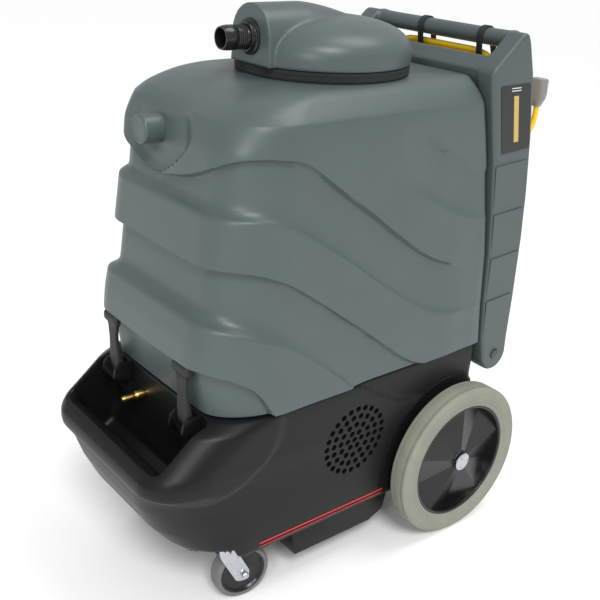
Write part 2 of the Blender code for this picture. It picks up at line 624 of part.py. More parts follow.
def rear_controls(parent):
    """Switch plate on the back panel with three rockers and the pressure gauge, and the drain valve below."""
    back = PANEL_BACK_Y + GAP
    flat = box((-0.090, back, 0.452), (0.090, back + 0.004, 0.596))
    plate = object_of(flat, "switch_plate", "gloss_black", parent)
    for i, x in enumerate(SWITCH_X):
        well = box((x - 0.0115, back - 0.01, SWITCH_Z - 0.0165), (x + 0.0115, back + 0.01, SWITCH_Z + 0.0165))
        combine(plate, object_of(well, f"rocker_well_{i}"))
        tip = slab(
            [(0.0040, -0.0148), (0.0100, -0.0142), (0.0072, 0.0), (0.0060, 0.0142), (0.0040, 0.0148), (0.0, 0.0)],
            -0.0105, 0.0105,
        )
        object_of(tip, f"rocker_{i + 1}", "rocker_red", parent, (x, back + 0.0012, SWITCH_Z))
    gauge = turned(
        [(0, back + 0.0043), (0.021, back + 0.0043), (0.021, back + 0.014), (0.019, back + 0.016),
         (0, back + 0.016)],
        "Y", 28, (0.045, 0, 0.564),
    )
    object_of(gauge, "pressure_gauge", "gauge_white", parent)
    knob = turned(
        [(0, back + 0.0043), (0.012, back + 0.0043), (0.011, back + 0.020), (0, back + 0.020)],
        "Y", 16, (-0.045, 0, 0.564),
    )
    object_of(knob, "pressure_knob", "gloss_black", parent, (0, 0, 0))
    spout = rod(0.019, back, back + 0.034, "Y", (0.100, 0, 0.430), 20)
    valve = object_of(spout, "drain_valve", "gloss_black", parent)
    bore = rod(0.0150, back + 0.012, back + 0.050, "Y", (0.100, 0, 0.430), 20)
    combine(valve, object_of(bore, "drain_bore"))
    stem = rod(0.006, 0.4485, 0.456, "Z", (0.100, back + 0.017, 0), 12)
    combine(valve, object_of(stem, "drain_stem"), "UNION")
    turn_at = (0.100, back + 0.017, 0.4563)
    lever = box((-0.006, -0.008, 0), (0.046, 0.008, 0.006))
    object_of(lever, "drain_lever", "rocker_red", parent, turn_at)


# Power cord: gland on the back panel, a loose lead, the hung coil and its tail with the plug
GLAND = (-0.118, PANEL_BACK_Y, 0.560)
COIL_TOP = Vector((0.0, 0.344, 0.876))
COIL_LOW = Vector((0.0, 0.444, 0.640))
COIL_HALF = 0.132
COIL_BEND = 0.045
COIL_THICK = 0.040
STRAP_X = (("left", -0.045), ("right", 0.100))
STRAP_Y, STRAP_Z = 0.340, 0.891
STRAP_HALF, STRAP_THICK = 0.0285, 0.0025
LEAD_POINTS = (
    (-0.118, 0.3600, 0.5600), (-0.118, 0.3750, 0.5590), (-0.116, 0.3950, 0.5500), (-0.108, 0.4120, 0.5330),
    (-0.090, 0.4210, 0.5200), (-0.066, 0.4240, 0.5220), (-0.048, 0.4230, 0.5400), (-0.040, 0.4260, 0.5650),
    (-0.036, 0.4300, 0.5900), (-0.034, 0.4350, 0.6160),
)
TAIL_POINTS = (
    (0.1330, 0.4285, 0.7380), (0.1340, 0.4380, 0.7430), (0.1360, 0.4490, 0.7540), (0.1380, 0.4540, 0.7720),
    (0.1385, 0.4530, 0.7970),
)


def rounded_loop(half_across, half_up, radius, steps):
    """A rectangle with round corners, about its own middle."""
    across, up = half_across - radius, half_up - radius
    points = []
    for centre, start in (((across, up), 0), ((-across, up), 90), ((-across, -up), 180), ((across, -up), 270)):
        points += arc(centre, radius, start, start + 90, steps)
    return points


def cord_coil(parent):
    """One solid for the hung coil: a bundle that follows a rounded loop, leaning back."""
    up = COIL_TOP - COIL_LOW
    middle = (COIL_TOP + COIL_LOW) / 2
    lean = up.normalized()
    out = Vector((1, 0, 0)).cross(lean)
    loop = rounded_loop(COIL_HALF, up.length / 2, COIL_BEND, 5)
    unique = [p for i, p in enumerate(loop) if (Vector(p) - Vector(loop[i - 1])).length > 1e-5]
    bm = bmesh.new()
    rows = []
    for i, (a, b) in enumerate(unique):
        before, after = Vector(unique[i - 1]), Vector(unique[(i + 1) % len(unique)])
        along = (after - before).normalized()
        inward = Vector((-along.y, along.x))
        row = []
        for k in range(8):
            angle = 2 * math.pi * (k + 0.5) / 8
            across = COIL_THICK / 2 * math.cos(angle)
            depth = COIL_THICK / 2 * math.sin(angle)
            flat = Vector((a, b)) + inward * across
            row.append(bm.verts.new(middle + Vector((1, 0, 0)) * flat.x + lean * flat.y + out * depth))
        rows.append(row)
    for row, after in zip(rows, rows[1:] + rows[:1]):
        for k in range(8):
            j = (k + 1) % 8
            bm.faces.new((row[k], row[j], after[j], after[k]))
    return object_of(bm, "cord_coil", "cord_yellow", parent)


def power_cord(parent):
    gland = turned(
        [(0.0055, 0.318), (0.0082, 0.318), (0.0082, GLAND[1] + GAP), (0.0125, GLAND[1] + GAP), (0.0125, 0.343),
         (0.0090, 0.345), (0.0068, 0.3597), (0.0055, 0.3597)],
        "Y", 16, (GLAND[0], 0, GLAND[2]),
    )
    gland = object_of(gland, "cord_gland", "rubber_black", parent)
    tube("power_cord", LEAD_POINTS, CORD_R, "cord_yellow", parent)
    cord_coil(parent)
    for side, x in STRAP_X:
        loop = {
            width: [(STRAP_Y + y, STRAP_Z + z) for y, z in rounded_loop(width, width + 0.0235, width, 5)]
            for width in (STRAP_HALF, STRAP_HALF + STRAP_THICK)
        }
        outer = slab(loop[STRAP_HALF + STRAP_THICK], x - 0.009, x + 0.009)
        strap = object_of(outer, f"cord_strap_{side}", "rubber_black", parent)
        inner = slab(loop[STRAP_HALF], x - 0.020, x + 0.020)
        combine(strap, object_of(inner, f"strap_hollow_{side}"))
    tube("cord_tail", TAIL_POINTS, CORD_R, "cord_yellow", parent)
    half_outline = [(0.010, 0.7973), (0.0165, 0.812), (0.0165, 0.848)]
    outline = [*half_outline, *((-x, z) for x, z in reversed(half_outline))]
    plug = slab([(0.1385 + x, z) for x, z in outline], 0.443, 0.463, "Y")
    object_of(plug, "power_plug", "plug_clear", parent)


def internals(parent):
    """Vacuum motors, pump, hose, duct and electrical box in the base's hollow."""
    for name, x in (("vacuum_motor_1", -0.085), ("vacuum_motor_2", 0.085)):
        motor = turned(
            [(0, 0.0608), (0.072, 0.0608), (0.072, 0.125), (0.045, 0.130), (0.045, 0.215), (0.030, 0.222), (0, 0.222)],
            "Z", 24, (x, -0.010, 0),
        )
        object_of(motor, name, "steel", parent)
    pump = object_of(box((-0.060, -0.235, 0.1380), (0.010, -0.145, 0.204)), "solution_pump", "pump_blue", parent)
    pump_motor = rod(0.030, 0.009, 0.100, "X", (0, -0.190, 0.173), 20)
    combine(pump, object_of(pump_motor, "pump_motor_form"), "UNION")
    hose_line = (
        (-0.056, -0.2490, 0.3250), (-0.056, -0.2400, 0.3250), (-0.055, -0.2200, 0.3150),
        (-0.050, -0.2000, 0.2850), (-0.048, -0.1930, 0.2500), (-0.048, -0.1920, 0.2060),
    )
    tube("pump_hose", hose_line, 0.0065, "hose_grey", parent)
    duct = object_of(rod(0.026, 0.2223, 0.340, "Z", (-0.085, -0.010, 0), 20), "vacuum_duct", "hose_grey", parent)
    elbow = box((-0.085, -0.028, 0.300), (0.060, 0.008, 0.336))
    combine(duct, object_of(elbow, "duct_elbow"), "UNION")
    object_of(box((0.050, 0.110, 0.1123), (0.160, 0.230, 0.230)), "electrical_box", "steel", parent)


def build():
    clear_scene()
    base = empty("base")
    tank = empty("tank")
    lid = empty("lid")
    base_shell(base)
    belly_pan(base)
    rear_wheels(base)
    solution_nipple(base)
    internals(base)
    for side, sign in SIDES:
        caster(side, sign, base)
        latch(side, sign, base)
        pivot_bolt(side, sign, base)
        side_label(side, sign, tank)
    tank_shell(tank)
    standpipe(tank)
    handle_frame(tank)
    rear_controls(tank)
    power_cord(tank)
    dome_lid(lid)


build()
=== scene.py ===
"""Looks of a portable box carpet extractor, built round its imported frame.

Metres, +Z up. The tank, its handle frame and the power cord tilt together on the black base.
"""

import math

import bmesh
import bpy
import numpy as np
from mathutils import Matrix, Vector


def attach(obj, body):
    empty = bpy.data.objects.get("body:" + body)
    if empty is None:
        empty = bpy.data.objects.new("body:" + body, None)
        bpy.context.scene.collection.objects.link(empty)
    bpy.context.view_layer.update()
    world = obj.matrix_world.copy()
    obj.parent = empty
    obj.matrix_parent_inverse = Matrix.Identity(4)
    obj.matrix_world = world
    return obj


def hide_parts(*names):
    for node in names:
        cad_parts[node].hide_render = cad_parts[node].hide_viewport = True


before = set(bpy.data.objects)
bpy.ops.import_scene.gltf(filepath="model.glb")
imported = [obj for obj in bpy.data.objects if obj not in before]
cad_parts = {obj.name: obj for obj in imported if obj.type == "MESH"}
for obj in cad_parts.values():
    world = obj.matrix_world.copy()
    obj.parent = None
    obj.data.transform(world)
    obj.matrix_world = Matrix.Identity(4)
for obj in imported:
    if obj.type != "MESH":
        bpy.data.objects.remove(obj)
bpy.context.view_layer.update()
SIDES = (("left", -1), ("right", 1))

# Shared places of the machine
SEAM_Z = 0.374
AXLE_Y, WHEEL_R = 0.250, 0.1524
LID_Y, LID_R = 0.047, 0.147
SNOUT_Z, SNOUT_FRONT = 0.929, -0.101
BAR_Y, BAR_Z = 0.334, 0.924
PANEL_BACK = 0.3332
PIVOT_Y, PIVOT_Z = 0.355, 0.338
BAR_R = 0.0150
LATCH_X = 0.112
RELIEF = (-0.118, 0, 0.560)
NIPPLE = (-0.056, 0, 0.325)
GAUGE = (0.045, 0, 0.564)
KNOB = (-0.045, 0, 0.564)
DRAIN_X, DRAIN_Z = 0.100, 0.430


# ---------------------------------------------------------------- finishes
def finish(
    name, colour, rough, metal=0.0, mottle=0.10, patch=9.0, bump=0.25, depth=0.0003, grain=900.0, shine=0.5
):
    """A procedural finish: slow patches of colour and gloss, and a fine grain in relief."""
    material = bpy.data.materials.new(name)
    material.use_nodes = True
    tree = material.node_tree
    nodes, links = tree.nodes, tree.links
    shader = nodes["Principled BSDF"]
    shader.inputs["Metallic"].default_value = metal
    shader.inputs["Specular IOR Level"].default_value = shine
    place = nodes.new("ShaderNodeTexCoord")
    patches = nodes.new("ShaderNodeTexNoise")
    patches.inputs["Scale"].default_value = patch
    patches.inputs["Detail"].default_value = 4
    fine = nodes.new("ShaderNodeTexNoise")
    fine.inputs["Scale"].default_value = grain
    fine.inputs["Detail"].default_value = 2
    links.new(place.outputs["Object"], patches.inputs["Vector"])
    links.new(place.outputs["Object"], fine.inputs["Vector"])
    blend = nodes.new("ShaderNodeMix")
    blend.data_type = "RGBA"
    dark = [c * (1 - mottle) for c in colour]
    light = [min(1.0, c * (1 + mottle)) for c in colour]
    blend.inputs["A"].default_value = (*dark, 1)
    blend.inputs["B"].default_value = (*light, 1)
    links.new(patches.outputs["Fac"], blend.inputs["Factor"])
    speck = nodes.new("ShaderNodeMix")
    speck.data_type = "RGBA"
    speck.blend_type = "OVERLAY"
    speck.inputs["Factor"].default_value = 0.12
    links.new(blend.outputs["Result"], speck.inputs["A"])
    links.new(fine.outputs["Color"], speck.inputs["B"])
    links.new(blend.outputs["Result"], shader.inputs["Base Color"])
    gloss = nodes.new("ShaderNodeMapRange")
    gloss.inputs["To Min"].default_value = max(0.03, rough - 0.06)
    gloss.inputs["To Max"].default_value = rough + 0.06
    links.new(patches.outputs["Fac"], gloss.inputs["Value"])
    links.new(gloss.outputs["Result"], shader.inputs["Roughness"])
    relief = nodes.new("ShaderNodeBump")
    relief.inputs["Strength"].default_value = bump
    relief.inputs["Distance"].default_value = depth
    links.new(fine.outputs["Fac"], relief.inputs["Height"])
    links.new(relief.outputs["Normal"], shader.inputs["Normal"])
    if metal > 0.5:
        nodes.remove(speck)
    else:
        links.new(speck.outputs["Result"], shader.inputs["Base Color"])
    return material


LOOKS = {
    "tank_grey": finish("tank_grey", (0.070, 0.094, 0.093), 0.36, bump=0.5, grain=700, shine=0.42),
    "frame_grey": finish("frame_grey", (0.067, 0.086, 0.086), 0.40, bump=0.5, grain=700, shine=0.42),
    "base_black": finish("base_black", (0.0062, 0.0065, 0.0072), 0.38, bump=0.35, grain=600, shine=0.22),
    "tyre_grey": finish("tyre_grey", (0.225, 0.235, 0.190), 0.72, mottle=0.16, patch=30, bump=0.4, grain=500),
    "wheel_black": finish("wheel_black", (0.0060, 0.0060, 0.0070), 0.26, bump=0.15, shine=0.40),
    "screw_dark": finish("screw_dark", (0.10, 0.10, 0.10), 0.40, 1.0, 0.10, 60, 0.2),
    "caster_grey": finish("caster_grey", (0.130, 0.135, 0.130), 0.70, mottle=0.2, patch=60),
    "zinc": finish("zinc", (0.50, 0.52, 0.55), 0.28, 1.0, 0.12, 120, 0.25, 0.0002, 260),
    "steel": finish("steel", (0.50, 0.51, 0.52), 0.32, 1.0, 0.10, 60, 0.2),
    "brass": finish("brass", (0.72, 0.50, 0.17), 0.24, 1.0, 0.08, 60, 0.1),
    "rubber_black": finish("rubber_black", (0.013, 0.013, 0.014), 0.60, mottle=0.3, patch=40, bump=0.4),
    "foam_black": finish(
        "foam_black", (0.016, 0.017, 0.018), 0.95, mottle=0.6, patch=420, bump=1.0, depth=0.0012, grain=520
    ),
    "gloss_black": finish("gloss_black", (0.010, 0.010, 0.011), 0.24, bump=0.15),
    "label_black": finish("label_black", (0.012, 0.011, 0.012), 0.28, bump=0.05),
    "label_gold": finish("label_gold", (0.52, 0.36, 0.10), 0.35, bump=0.05),
    "label_pale": finish("label_pale", (0.62, 0.62, 0.60), 0.35, bump=0.05),
    "stripe_red": finish("stripe_red", (0.48, 0.02, 0.02), 0.35, bump=0.05),
    "rocker_red": finish("rocker_red", (0.50, 0.02, 0.015), 0.30, bump=0.1),
    "gauge_white": finish("gauge_white", (0.74, 0.75, 0.74), 0.30, bump=0.05, mottle=0.03),
    "pipe_white": finish("pipe_white", (0.60, 0.61, 0.59), 0.42, bump=0.1),
    "hose_grey": finish("hose_grey", (0.17, 0.17, 0.17), 0.55),
    "pump_blue": finish("pump_blue", (0.05, 0.07, 0.11), 0.38, bump=0.4),
    "cord_yellow": finish(
        "cord_yellow", (0.86, 0.56, 0.010), 0.42, mottle=0.12, patch=30, bump=0.25, grain=1500
    ),
    "plug_clear": finish("plug_clear", (0.36, 0.36, 0.34), 0.14, bump=0.1, patch=90),
    "motor_metal": finish("motor_metal", (0.52, 0.53, 0.54), 0.38, 1.0, 0.12, 40, 0.3),
    "box_grey": finish("box_grey", (0.18, 0.18, 0.18), 0.5),
}
LOOKS["plug_clear"].node_tree.nodes["Principled BSDF"].inputs["Transmission Weight"].default_value = 0.45


# ---------------------------------------------------------------- mesh makers
def thing(name, bm, look=None):
    """A linked object from a bmesh, with its faces turned outwards."""
    bmesh.ops.recalc_face_normals(bm, faces=bm.faces)
    mesh = bpy.data.meshes.new(name)
    bm.to_mesh(mesh)
    bm.free()
    obj = bpy.data.objects.new(name, mesh)
    bpy.context.scene.collection.objects.link(obj)
    if look:
        mesh.materials.append(LOOKS[look])
    return obj


def settle(obj):
    """The evaluated shape as the object's own plain mesh."""
    evaluated = obj.evaluated_get(bpy.context.evaluated_depsgraph_get())
    mesh = bpy.data.meshes.new_from_object(evaluated)
    old = obj.data
    obj.modifiers.clear()
    obj.data = mesh
    mesh.name = obj.name
    bpy.data.meshes.remove(old)
    return obj


def rounded(obj, width, steps=3, angle=30):
    modifier = obj.modifiers.new("edges", "BEVEL")
    modifier.width = width
    modifier.segments = steps
    modifier.limit_method = "ANGLE"
    modifier.angle_limit = math.radians(angle)
    return settle(obj)


def carve(obj, others, operation="DIFFERENCE"):
    """Cuts or joins other objects in one Boolean, and removes them."""
    group = bpy.data.collections.new("tools")
    bpy.context.scene.collection.children.link(group)
    for other in others:
        group.objects.link(other)
    modifier = obj.modifiers.new("carve", "BOOLEAN")
    modifier.operation = operation
    modifier.operand_type = "COLLECTION"
    modifier.collection = group
    modifier.solver = "EXACT"
    settle(obj)
    for other in others:
        bpy.data.objects.remove(other, do_unlink=True)
    bpy.data.collections.remove(group)
    return obj


def moulded(obj, voxel, passes, most=150000):
    """Rounds a shape off the way a mould would, by a fine remesh and a light smoothing."""
    remesh = obj.modifiers.new("skin", "REMESH")
    remesh.mode = "VOXEL"
    remesh.voxel_size = voxel
    even = obj.modifiers.new("even", "SMOOTH")
    even.factor = 0.5
    even.iterations = passes
    settle(obj)
    triangles = sum(len(p.vertices) - 2 for p in obj.data.polygons)
    if triangles > most:
        fewer = obj.modifiers.new("fewer", "DECIMATE")
        fewer.ratio = most / triangles
        settle(obj)
    return obj


def keep(obj, body, look, stands_for=(), sharp=38):
    """Gives a finished piece its finish, shading and body, and hides the imported parts it stands for."""
    mesh = obj.data
    mesh.materials.clear()
    mesh.materials.append(LOOKS[look])
    mesh.shade_smooth()
    mesh.set_sharp_from_angle(angle=math.radians(sharp))
    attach(obj, body)
    if stands_for:
        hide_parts(*stands_for)
    return obj


AXIS_TURN = {
    "X": Matrix.Rotation(math.radians(90), 4, "Y"),
    "Y": Matrix.Rotation(math.radians(-90), 4, "X"),
    "Z": Matrix.Identity(4),
}


def turned(profile, axis="Z", at=(0, 0, 0), sides=72):
    """A solid of revolution from a closed outline of (radius, distance along the axis)."""
    bm = bmesh.new()
    rings = []
    for radius, along in profile:
        if radius < 1e-6:
            rings.append([bm.verts.new((0, 0, along))] * sides)
            continue
        angles = (2 * math.pi * i / sides for i in range(sides))
        rings.append([bm.verts.new((radius * math.cos(a), radius * math.sin(a), along)) for a in angles])
    for ring, after in zip(rings, rings[1:] + rings[:1]):
        for i in range(sides):
            j = (i + 1) % sides
            corners = []
            for vert in (ring[i], ring[j], after[j], after[i]):
                if vert not in corners:
                    corners.append(vert)
            if len(corners) > 2:
                bm.faces.new(corners)
    bm.transform(Matrix.Translation(at) @ AXIS_TURN[axis])
    return bm


def soft(outline, radius, steps=4):
    """Rounds the corners of a closed outline. Points on the axis of a turned shape stay."""
    result = []
    for i, point in enumerate(outline):
        here = Vector(point)
        back = Vector(outline[i - 1]) - here
        on = Vector(outline[(i + 1) % len(outline)]) - here
        cut = min(radius, back.length * 0.45, on.length * 0.45)
        if point[0] == 0 and (outline[i - 1][0] == 0 or outline[(i + 1) % len(outline)][0] == 0):
            result.append(tuple(point))
            continue
        start = here + back.normalized() * cut
        end = here + on.normalized() * cut
        for k in range(steps + 1):
            s = k / steps
            spot = start * (1 - s) ** 2 + here * 2 * s * (1 - s) + end * s * s
            result.append((spot.x, spot.y))
    return result


def slab(outline, low, high, axis="X"):
    """A flat outline pushed along an axis. X takes (y, z) points, Y takes (x, z) and Z takes (x, y)."""
    place = {
        "X": lambda a, b, t: (t, a, b),
        "Y": lambda a, b, t: (a, t, b),
        "Z": lambda a, b, t: (a, b, t),
    }[axis]
    bm = bmesh.new()
    near = [bm.verts.new(place(a, b, low)) for a, b in outline]
    far = [bm.verts.new(place(a, b, high)) for a, b in outline]
    bm.faces.new(near)
    bm.faces.new(far)
    for i in range(len(outline)):
        j = (i + 1) % len(outline)
        bm.faces.new((near[i], near[j], far[j], far[i]))
    return bm


def box(low, high):
    return slab(
        [(low[0], low[1]), (high[0], low[1]), (high[0], high[1]), (low[0], high[1])], low[2], high[2], "Z"
    )


def rod(radius, start, end, axis, at, sides=64):
    return turned([(0, start), (radius, start), (radius, end), (0, end)], axis, at, sides)


def arc(centre, radius, start, end, steps):
    angles = (math.radians(start + (end - start) * i / steps) for i in range(steps + 1))
    return [(centre[0] + radius * math.cos(a), centre[1] + radius * math.sin(a)) for a in angles]


def span(sign, near, far):
    """The low and high end of a stretch on the left or the right side."""
    return sorted((sign * near, sign * far))


def sided(outline, sign):
    """An outline of (radius, x) for the left or the right side."""
    return [(r, sign * x) for r, x in outline]


def oval(centre, half, deep, steps, flat_x, flat_y):
    """A cross-section between a box and an ellipse; a smaller power makes it flatter."""
    section = []
    for i in range(steps):
        a = 2 * math.pi * (i + 0.5) / steps
        c, s = math.cos(a), math.sin(a)
        x = half * math.copysign(abs(c) ** flat_x, c)
        y = deep * math.copysign(abs(s) ** flat_y, s)
        section.append((centre[0] + x, centre[1] + y, centre[2]))
    return section


def catmull(a, b, c, d, t):
    """A place on the Catmull-Rom curve between b and c."""
    return b + ((c - a) * t + (2 * a - 5 * b + 4 * c - d) * t * t + (3 * b - a - 3 * c + d) * t**3) / 2


def together(*meshes):
    """Several bmeshes in one."""
    whole = bmesh.new()
    for bm in meshes:
        part = bpy.data.meshes.new("part")
        bm.to_mesh(part)
        bm.free()
        whole.from_mesh(part)
        bpy.data.meshes.remove(part)
    return whole


def skin(rows):
    """A closed skin over rows of points; each row is a closed ring."""
    bm = bmesh.new()
    rings = [[bm.verts.new(p) for p in row] for row in rows]
    count = len(rings[0])
    for ring, after in zip(rings, rings[1:]):
        for i in range(count):
            j = (i + 1) % count
            bm.faces.new((ring[i], ring[j], after[j], after[i]))
    bm.faces.new(rings[0])
    bm.faces.new(rings[-1])
    bmesh.ops.triangulate(bm, faces=[f for f in bm.faces if len(f.verts) > 4])
    return bm


def smoothstep(low, high, value):
    s = np.clip((np.asarray(value, float) - low) / (high - low), 0, 1)
    return s * s * (3 - 2 * s)


def flowing(points, width=0.012, low=-0.3, high=1.1):
    """A function through control points, with its corners eased."""
    grid = np.arange(low, high, 0.002)
    xs, ys = zip(*points)
    values = np.interp(grid, xs, ys)
    reach = np.arange(-3 * width, 3 * width + 1e-9, 0.002)
    weights = np.exp(-0.5 * (reach / width) ** 2)
    padded = np.pad(values, len(reach) // 2, mode="edge")
    eased = np.convolve(padded, weights / weights.sum(), mode="valid")[: len(grid)]
    return lambda t: np.interp(t, grid, eased)


def plan_ring(half, front, rear, across, along, rear_corner, counts):
    """Plan outline: points, outward directions, and the distance t along it from the front's middle."""
    n_front, n_corner, n_side, n_rear_corner, n_rear = counts
    xs, ys, ts, normals = [], [], [], []
    flat = half - across
    corner_end = 0.260 + (front + along + 0.154)
    for i in range(n_front):
        xs.append(flat * i / n_front)
        ys.append(front)
        ts.append(xs[-1])
        normals.append((0, -1))
    for i in range(n_corner):
        a = math.pi / 2 * i / n_corner
        xs.append(half - across * (1 - math.sin(a)))
        ys.append(front + along * (1 - math.cos(a)))
        ts.append(flat + (corner_end - flat) * i / n_corner)
        n = Vector((math.sin(a) / across, -math.cos(a) / along)).normalized()
        normals.append((n.x, n.y))
    side_start, side_end = front + along, rear - rear_corner
    for i in range(n_side):
        xs.append(half)
        ys.append(side_start + (side_end - side_start) * i / n_side)
        ts.append(corner_end + ys[-1] - side_start)
        normals.append((1, 0))
    for i in range(n_rear_corner):
        a = math.pi / 2 * i / n_rear_corner
        xs.append(half - rear_corner * (1 - math.cos(a)))
        ys.append(side_end + rear_corner * math.sin(a))
        ts.append(ts[-1] + 0.004)
        normals.append((math.cos(a), math.sin(a)))
    for i in range(n_rear + 1):
        xs.append((half - rear_corner) * (1 - i / n_rear))
        ys.append(rear)
        ts.append(ts[-1] + 0.004)
        normals.append((0, 1))
    x, y, t, n = np.array(xs), np.array(ys), np.array(ts), np.array(normals)
    back = slice(-2, 0, -1)
    x = np.concatenate([x, -x[back]])
    y = np.concatenate([y, y[back]])
    t = np.concatenate([t, -t[back]])
    n = np.concatenate([n, n[back] * (-1, 1)])
    return x, y, t, n


# ---------------------------------------------------------------- camera, floor and light
def camera():
    azimuth, elevation, roll = (math.radians(d) for d in (50.63, 23.28, 2.85))
    forward = Vector(
        (-math.sin(azimuth) * math.cos(elevation), math.cos(azimuth) * math.cos(elevation), -math.sin(elevation))
    )
    right0 = Vector((math.cos(azimuth), math.sin(azimuth), 0))
    down0 = -right0.cross(forward)
    right = right0 * math.cos(roll) - down0 * math.sin(roll)
    down = right0 * math.sin(roll) + down0 * math.cos(roll)
    data = bpy.data.cameras.new("camera")
    data.lens = 55.58
    data.sensor_width = 36
    data.clip_start, data.clip_end = 0.05, 200
    obj = bpy.data.objects.new("camera", data)
    bpy.context.scene.collection.objects.link(obj)
    turn = Matrix((right, -down, -forward)).transposed()
    obj.matrix_world = Matrix.Translation((1.2053, -0.9637, 1.125)) @ turn.to_4x4()
    bpy.context.scene.camera = obj


def lamp(name, place, power, size, kind="AREA"):
    """A lamp pointed at the middle of the machine; a sun's size is its angle."""
    data = bpy.data.lights.new(name, kind)
    if kind == "SUN":
        data.angle = size
    else:
        data.shape = "DISK"
        data.size = size
    data.energy = power
    obj = bpy.data.objects.new(name, data)
    bpy.context.scene.collection.objects.link(obj)
    obj.location = place
    obj.rotation_mode = "QUATERNION"
    obj.rotation_quaternion = (Vector((0, 0, 0.45)) - Vector(place)).to_track_quat("-Z", "Y")


def studio():
    world = bpy.data.worlds.new("studio")
    bpy.context.scene.world = world
    world.use_nodes = True
    sky = world.node_tree.nodes["Background"]
    sky.inputs["Color"].default_value = (1, 1, 1, 1)
    sky.inputs["Strength"].default_value = 0.60
    bm = bmesh.new()
    bmesh.ops.create_grid(bm, x_segments=8, y_segments=8, size=40)
    floor = thing("floor", bm)
    floor.data.materials.append(finish("paper", (0.97, 0.97, 0.97), 0.9, mottle=0.01, bump=0.0, shine=0.0))
    lamp("key", (1.9, -1.0, 2.8), 1.75, 0.35, "SUN")
    lamp("corner", (1.5, -2.1, 1.5), 15, 0.6)
    lamp("top", (0.5, 1.0, 3.3), 30, 1.6)
    bpy.context.scene.view_settings.view_transform = "Standard"


camera()
studio()

# ---------------------------------------------------------------- power cord
CORD_D = 0.0105
LEAD_BEND = 0.065
LEAD_LENGTH = 0.1511
LEAD = [(RELIEF[0], 0.360 + 0.007 * i, RELIEF[2]) for i in range(4)]
for i in range(15):
    gone = 0.0102 * i
    turn = min(gone / LEAD_BEND, math.pi / 2)
    across = RELIEF[0] + LEAD_BEND * (1 - math.cos(turn)) + max(gone - LEAD_BEND * math.pi / 2, 0)
    climb = (gone / LEAD_LENGTH) ** 2 * (3 - 2 * gone / LEAD_LENGTH)
    LEAD.append((across, 0.388 + LEAD_BEND * math.sin(turn), 0.560 + 0.0587 * climb))
COIL_TOP, COIL_LOW = Vector((0, 0.344, 0.876)), Vector((0, 0.444, 0.640))
COIL_HALF, COIL_BEND = 0.132, 0.060
STRAND_GAP = 0.0122
COIL_TURNS = 7.18
STEPS_PER_TURN = 80
TAIL = (
    (0.1382, 0.4278, 0.7096), (0.1383, 0.4278, 0.7236), (0.1384, 0.4320, 0.7377), (0.1385, 0.4401, 0.7501),
    (0.1385, 0.4462, 0.7586), (0.1385, 0.4512, 0.7707), (0.1385, 0.4529, 0.7836), (0.1385, 0.4530, 0.7973),
)


def through(points, spacing):
    """Evenly spaced points on the Catmull-Rom curve through the given ones."""
    points = [Vector(p) for p in points]
    ends = [2 * points[0] - points[1], *points, 2 * points[-1] - points[-2]]
    fine = []
    for a, b, c, d in zip(ends, ends[1:], ends[2:], ends[3:]):
        fine += [catmull(a, b, c, d, i / 24) for i in range(24)]
    fine.append(points[-1])
    steps = [0.0]
    for before, after in zip(fine, fine[1:]):
        steps.append(steps[-1] + (after - before).length)
    count = max(2, round(steps[-1] / spacing))
    wanted = [steps[-1] * i / count for i in range(count + 1)]
    return [Vector(np.interp(w, steps, [p[k] for p in fine]) for k in range(3)) for w in wanted]


def strand_place(turn):
    """Where a strand lies in the bundle after so many turns: (distance from its middle, angle in degrees)."""
    seats = ((1.9, 270), (1, 270), (1, 330), (1, 390), (0, 420), (1, 450), (1, 510), (1, 570))
    radius, angle = seats[0]
    for k, (before, after) in enumerate(zip(seats, seats[1:])):
        start = k + 0.26 + 0.100 * (6 - k)
        s = float(smoothstep(start, start + 0.095, turn))
        if turn > start:
            radius = before[0] + (after[0] - before[0]) * s
            if after[0] == 0 or before[0] == 0:
                angle = after[1] if before[0] == 0 else before[1]
            else:
                angle = before[1] + (after[1] - before[1]) * s
    return radius * STRAND_GAP, math.radians(angle)


def coil_line():
    """The wound part of the cord: turns of a rounded loop that leans back on the frame."""
    rise = COIL_TOP - COIL_LOW
    lean = rise.normalized()
    out = Vector((1, 0, 0)).cross(lean)
    middle = (COIL_TOP + COIL_LOW) / 2
    across, up = COIL_HALF - COIL_BEND, rise.length / 2 - COIL_BEND
    path = []
    corners = (((across, -up), -90), ((across, up), 0), ((-across, up), 90), ((-across, -up), 180))
    for centre, start in corners:
        path += arc(centre, COIL_BEND, start, start + 90, 40)
    path = [Vector(p) for p in path]
    path.append(path[0])
    lengths = [0.0]
    for before, after in zip(path, path[1:]):
        lengths.append(lengths[-1] + (after - before).length)
    total = lengths[-1]
    shift = total - across
    line = []
    for i in range(int(COIL_TURNS * STEPS_PER_TURN) + 1):
        turn = i / STEPS_PER_TURN
        s = (shift + turn * total) % total
        spot, ahead, behind = (
            Vector([float(np.interp(w % total, lengths, [p[k] for p in path])) for k in range(2)])
            for w in (s, s + 0.004, s - 0.004)
        )
        along = (ahead - behind).normalized()
        inward = Vector((-along.y, along.x))
        radius, angle = strand_place(turn)
        flat = spot + inward * radius * math.sin(angle)
        line.append(middle + Vector((1, 0, 0)) * flat.x + lean * flat.y + out * radius * math.cos(angle))
    return line


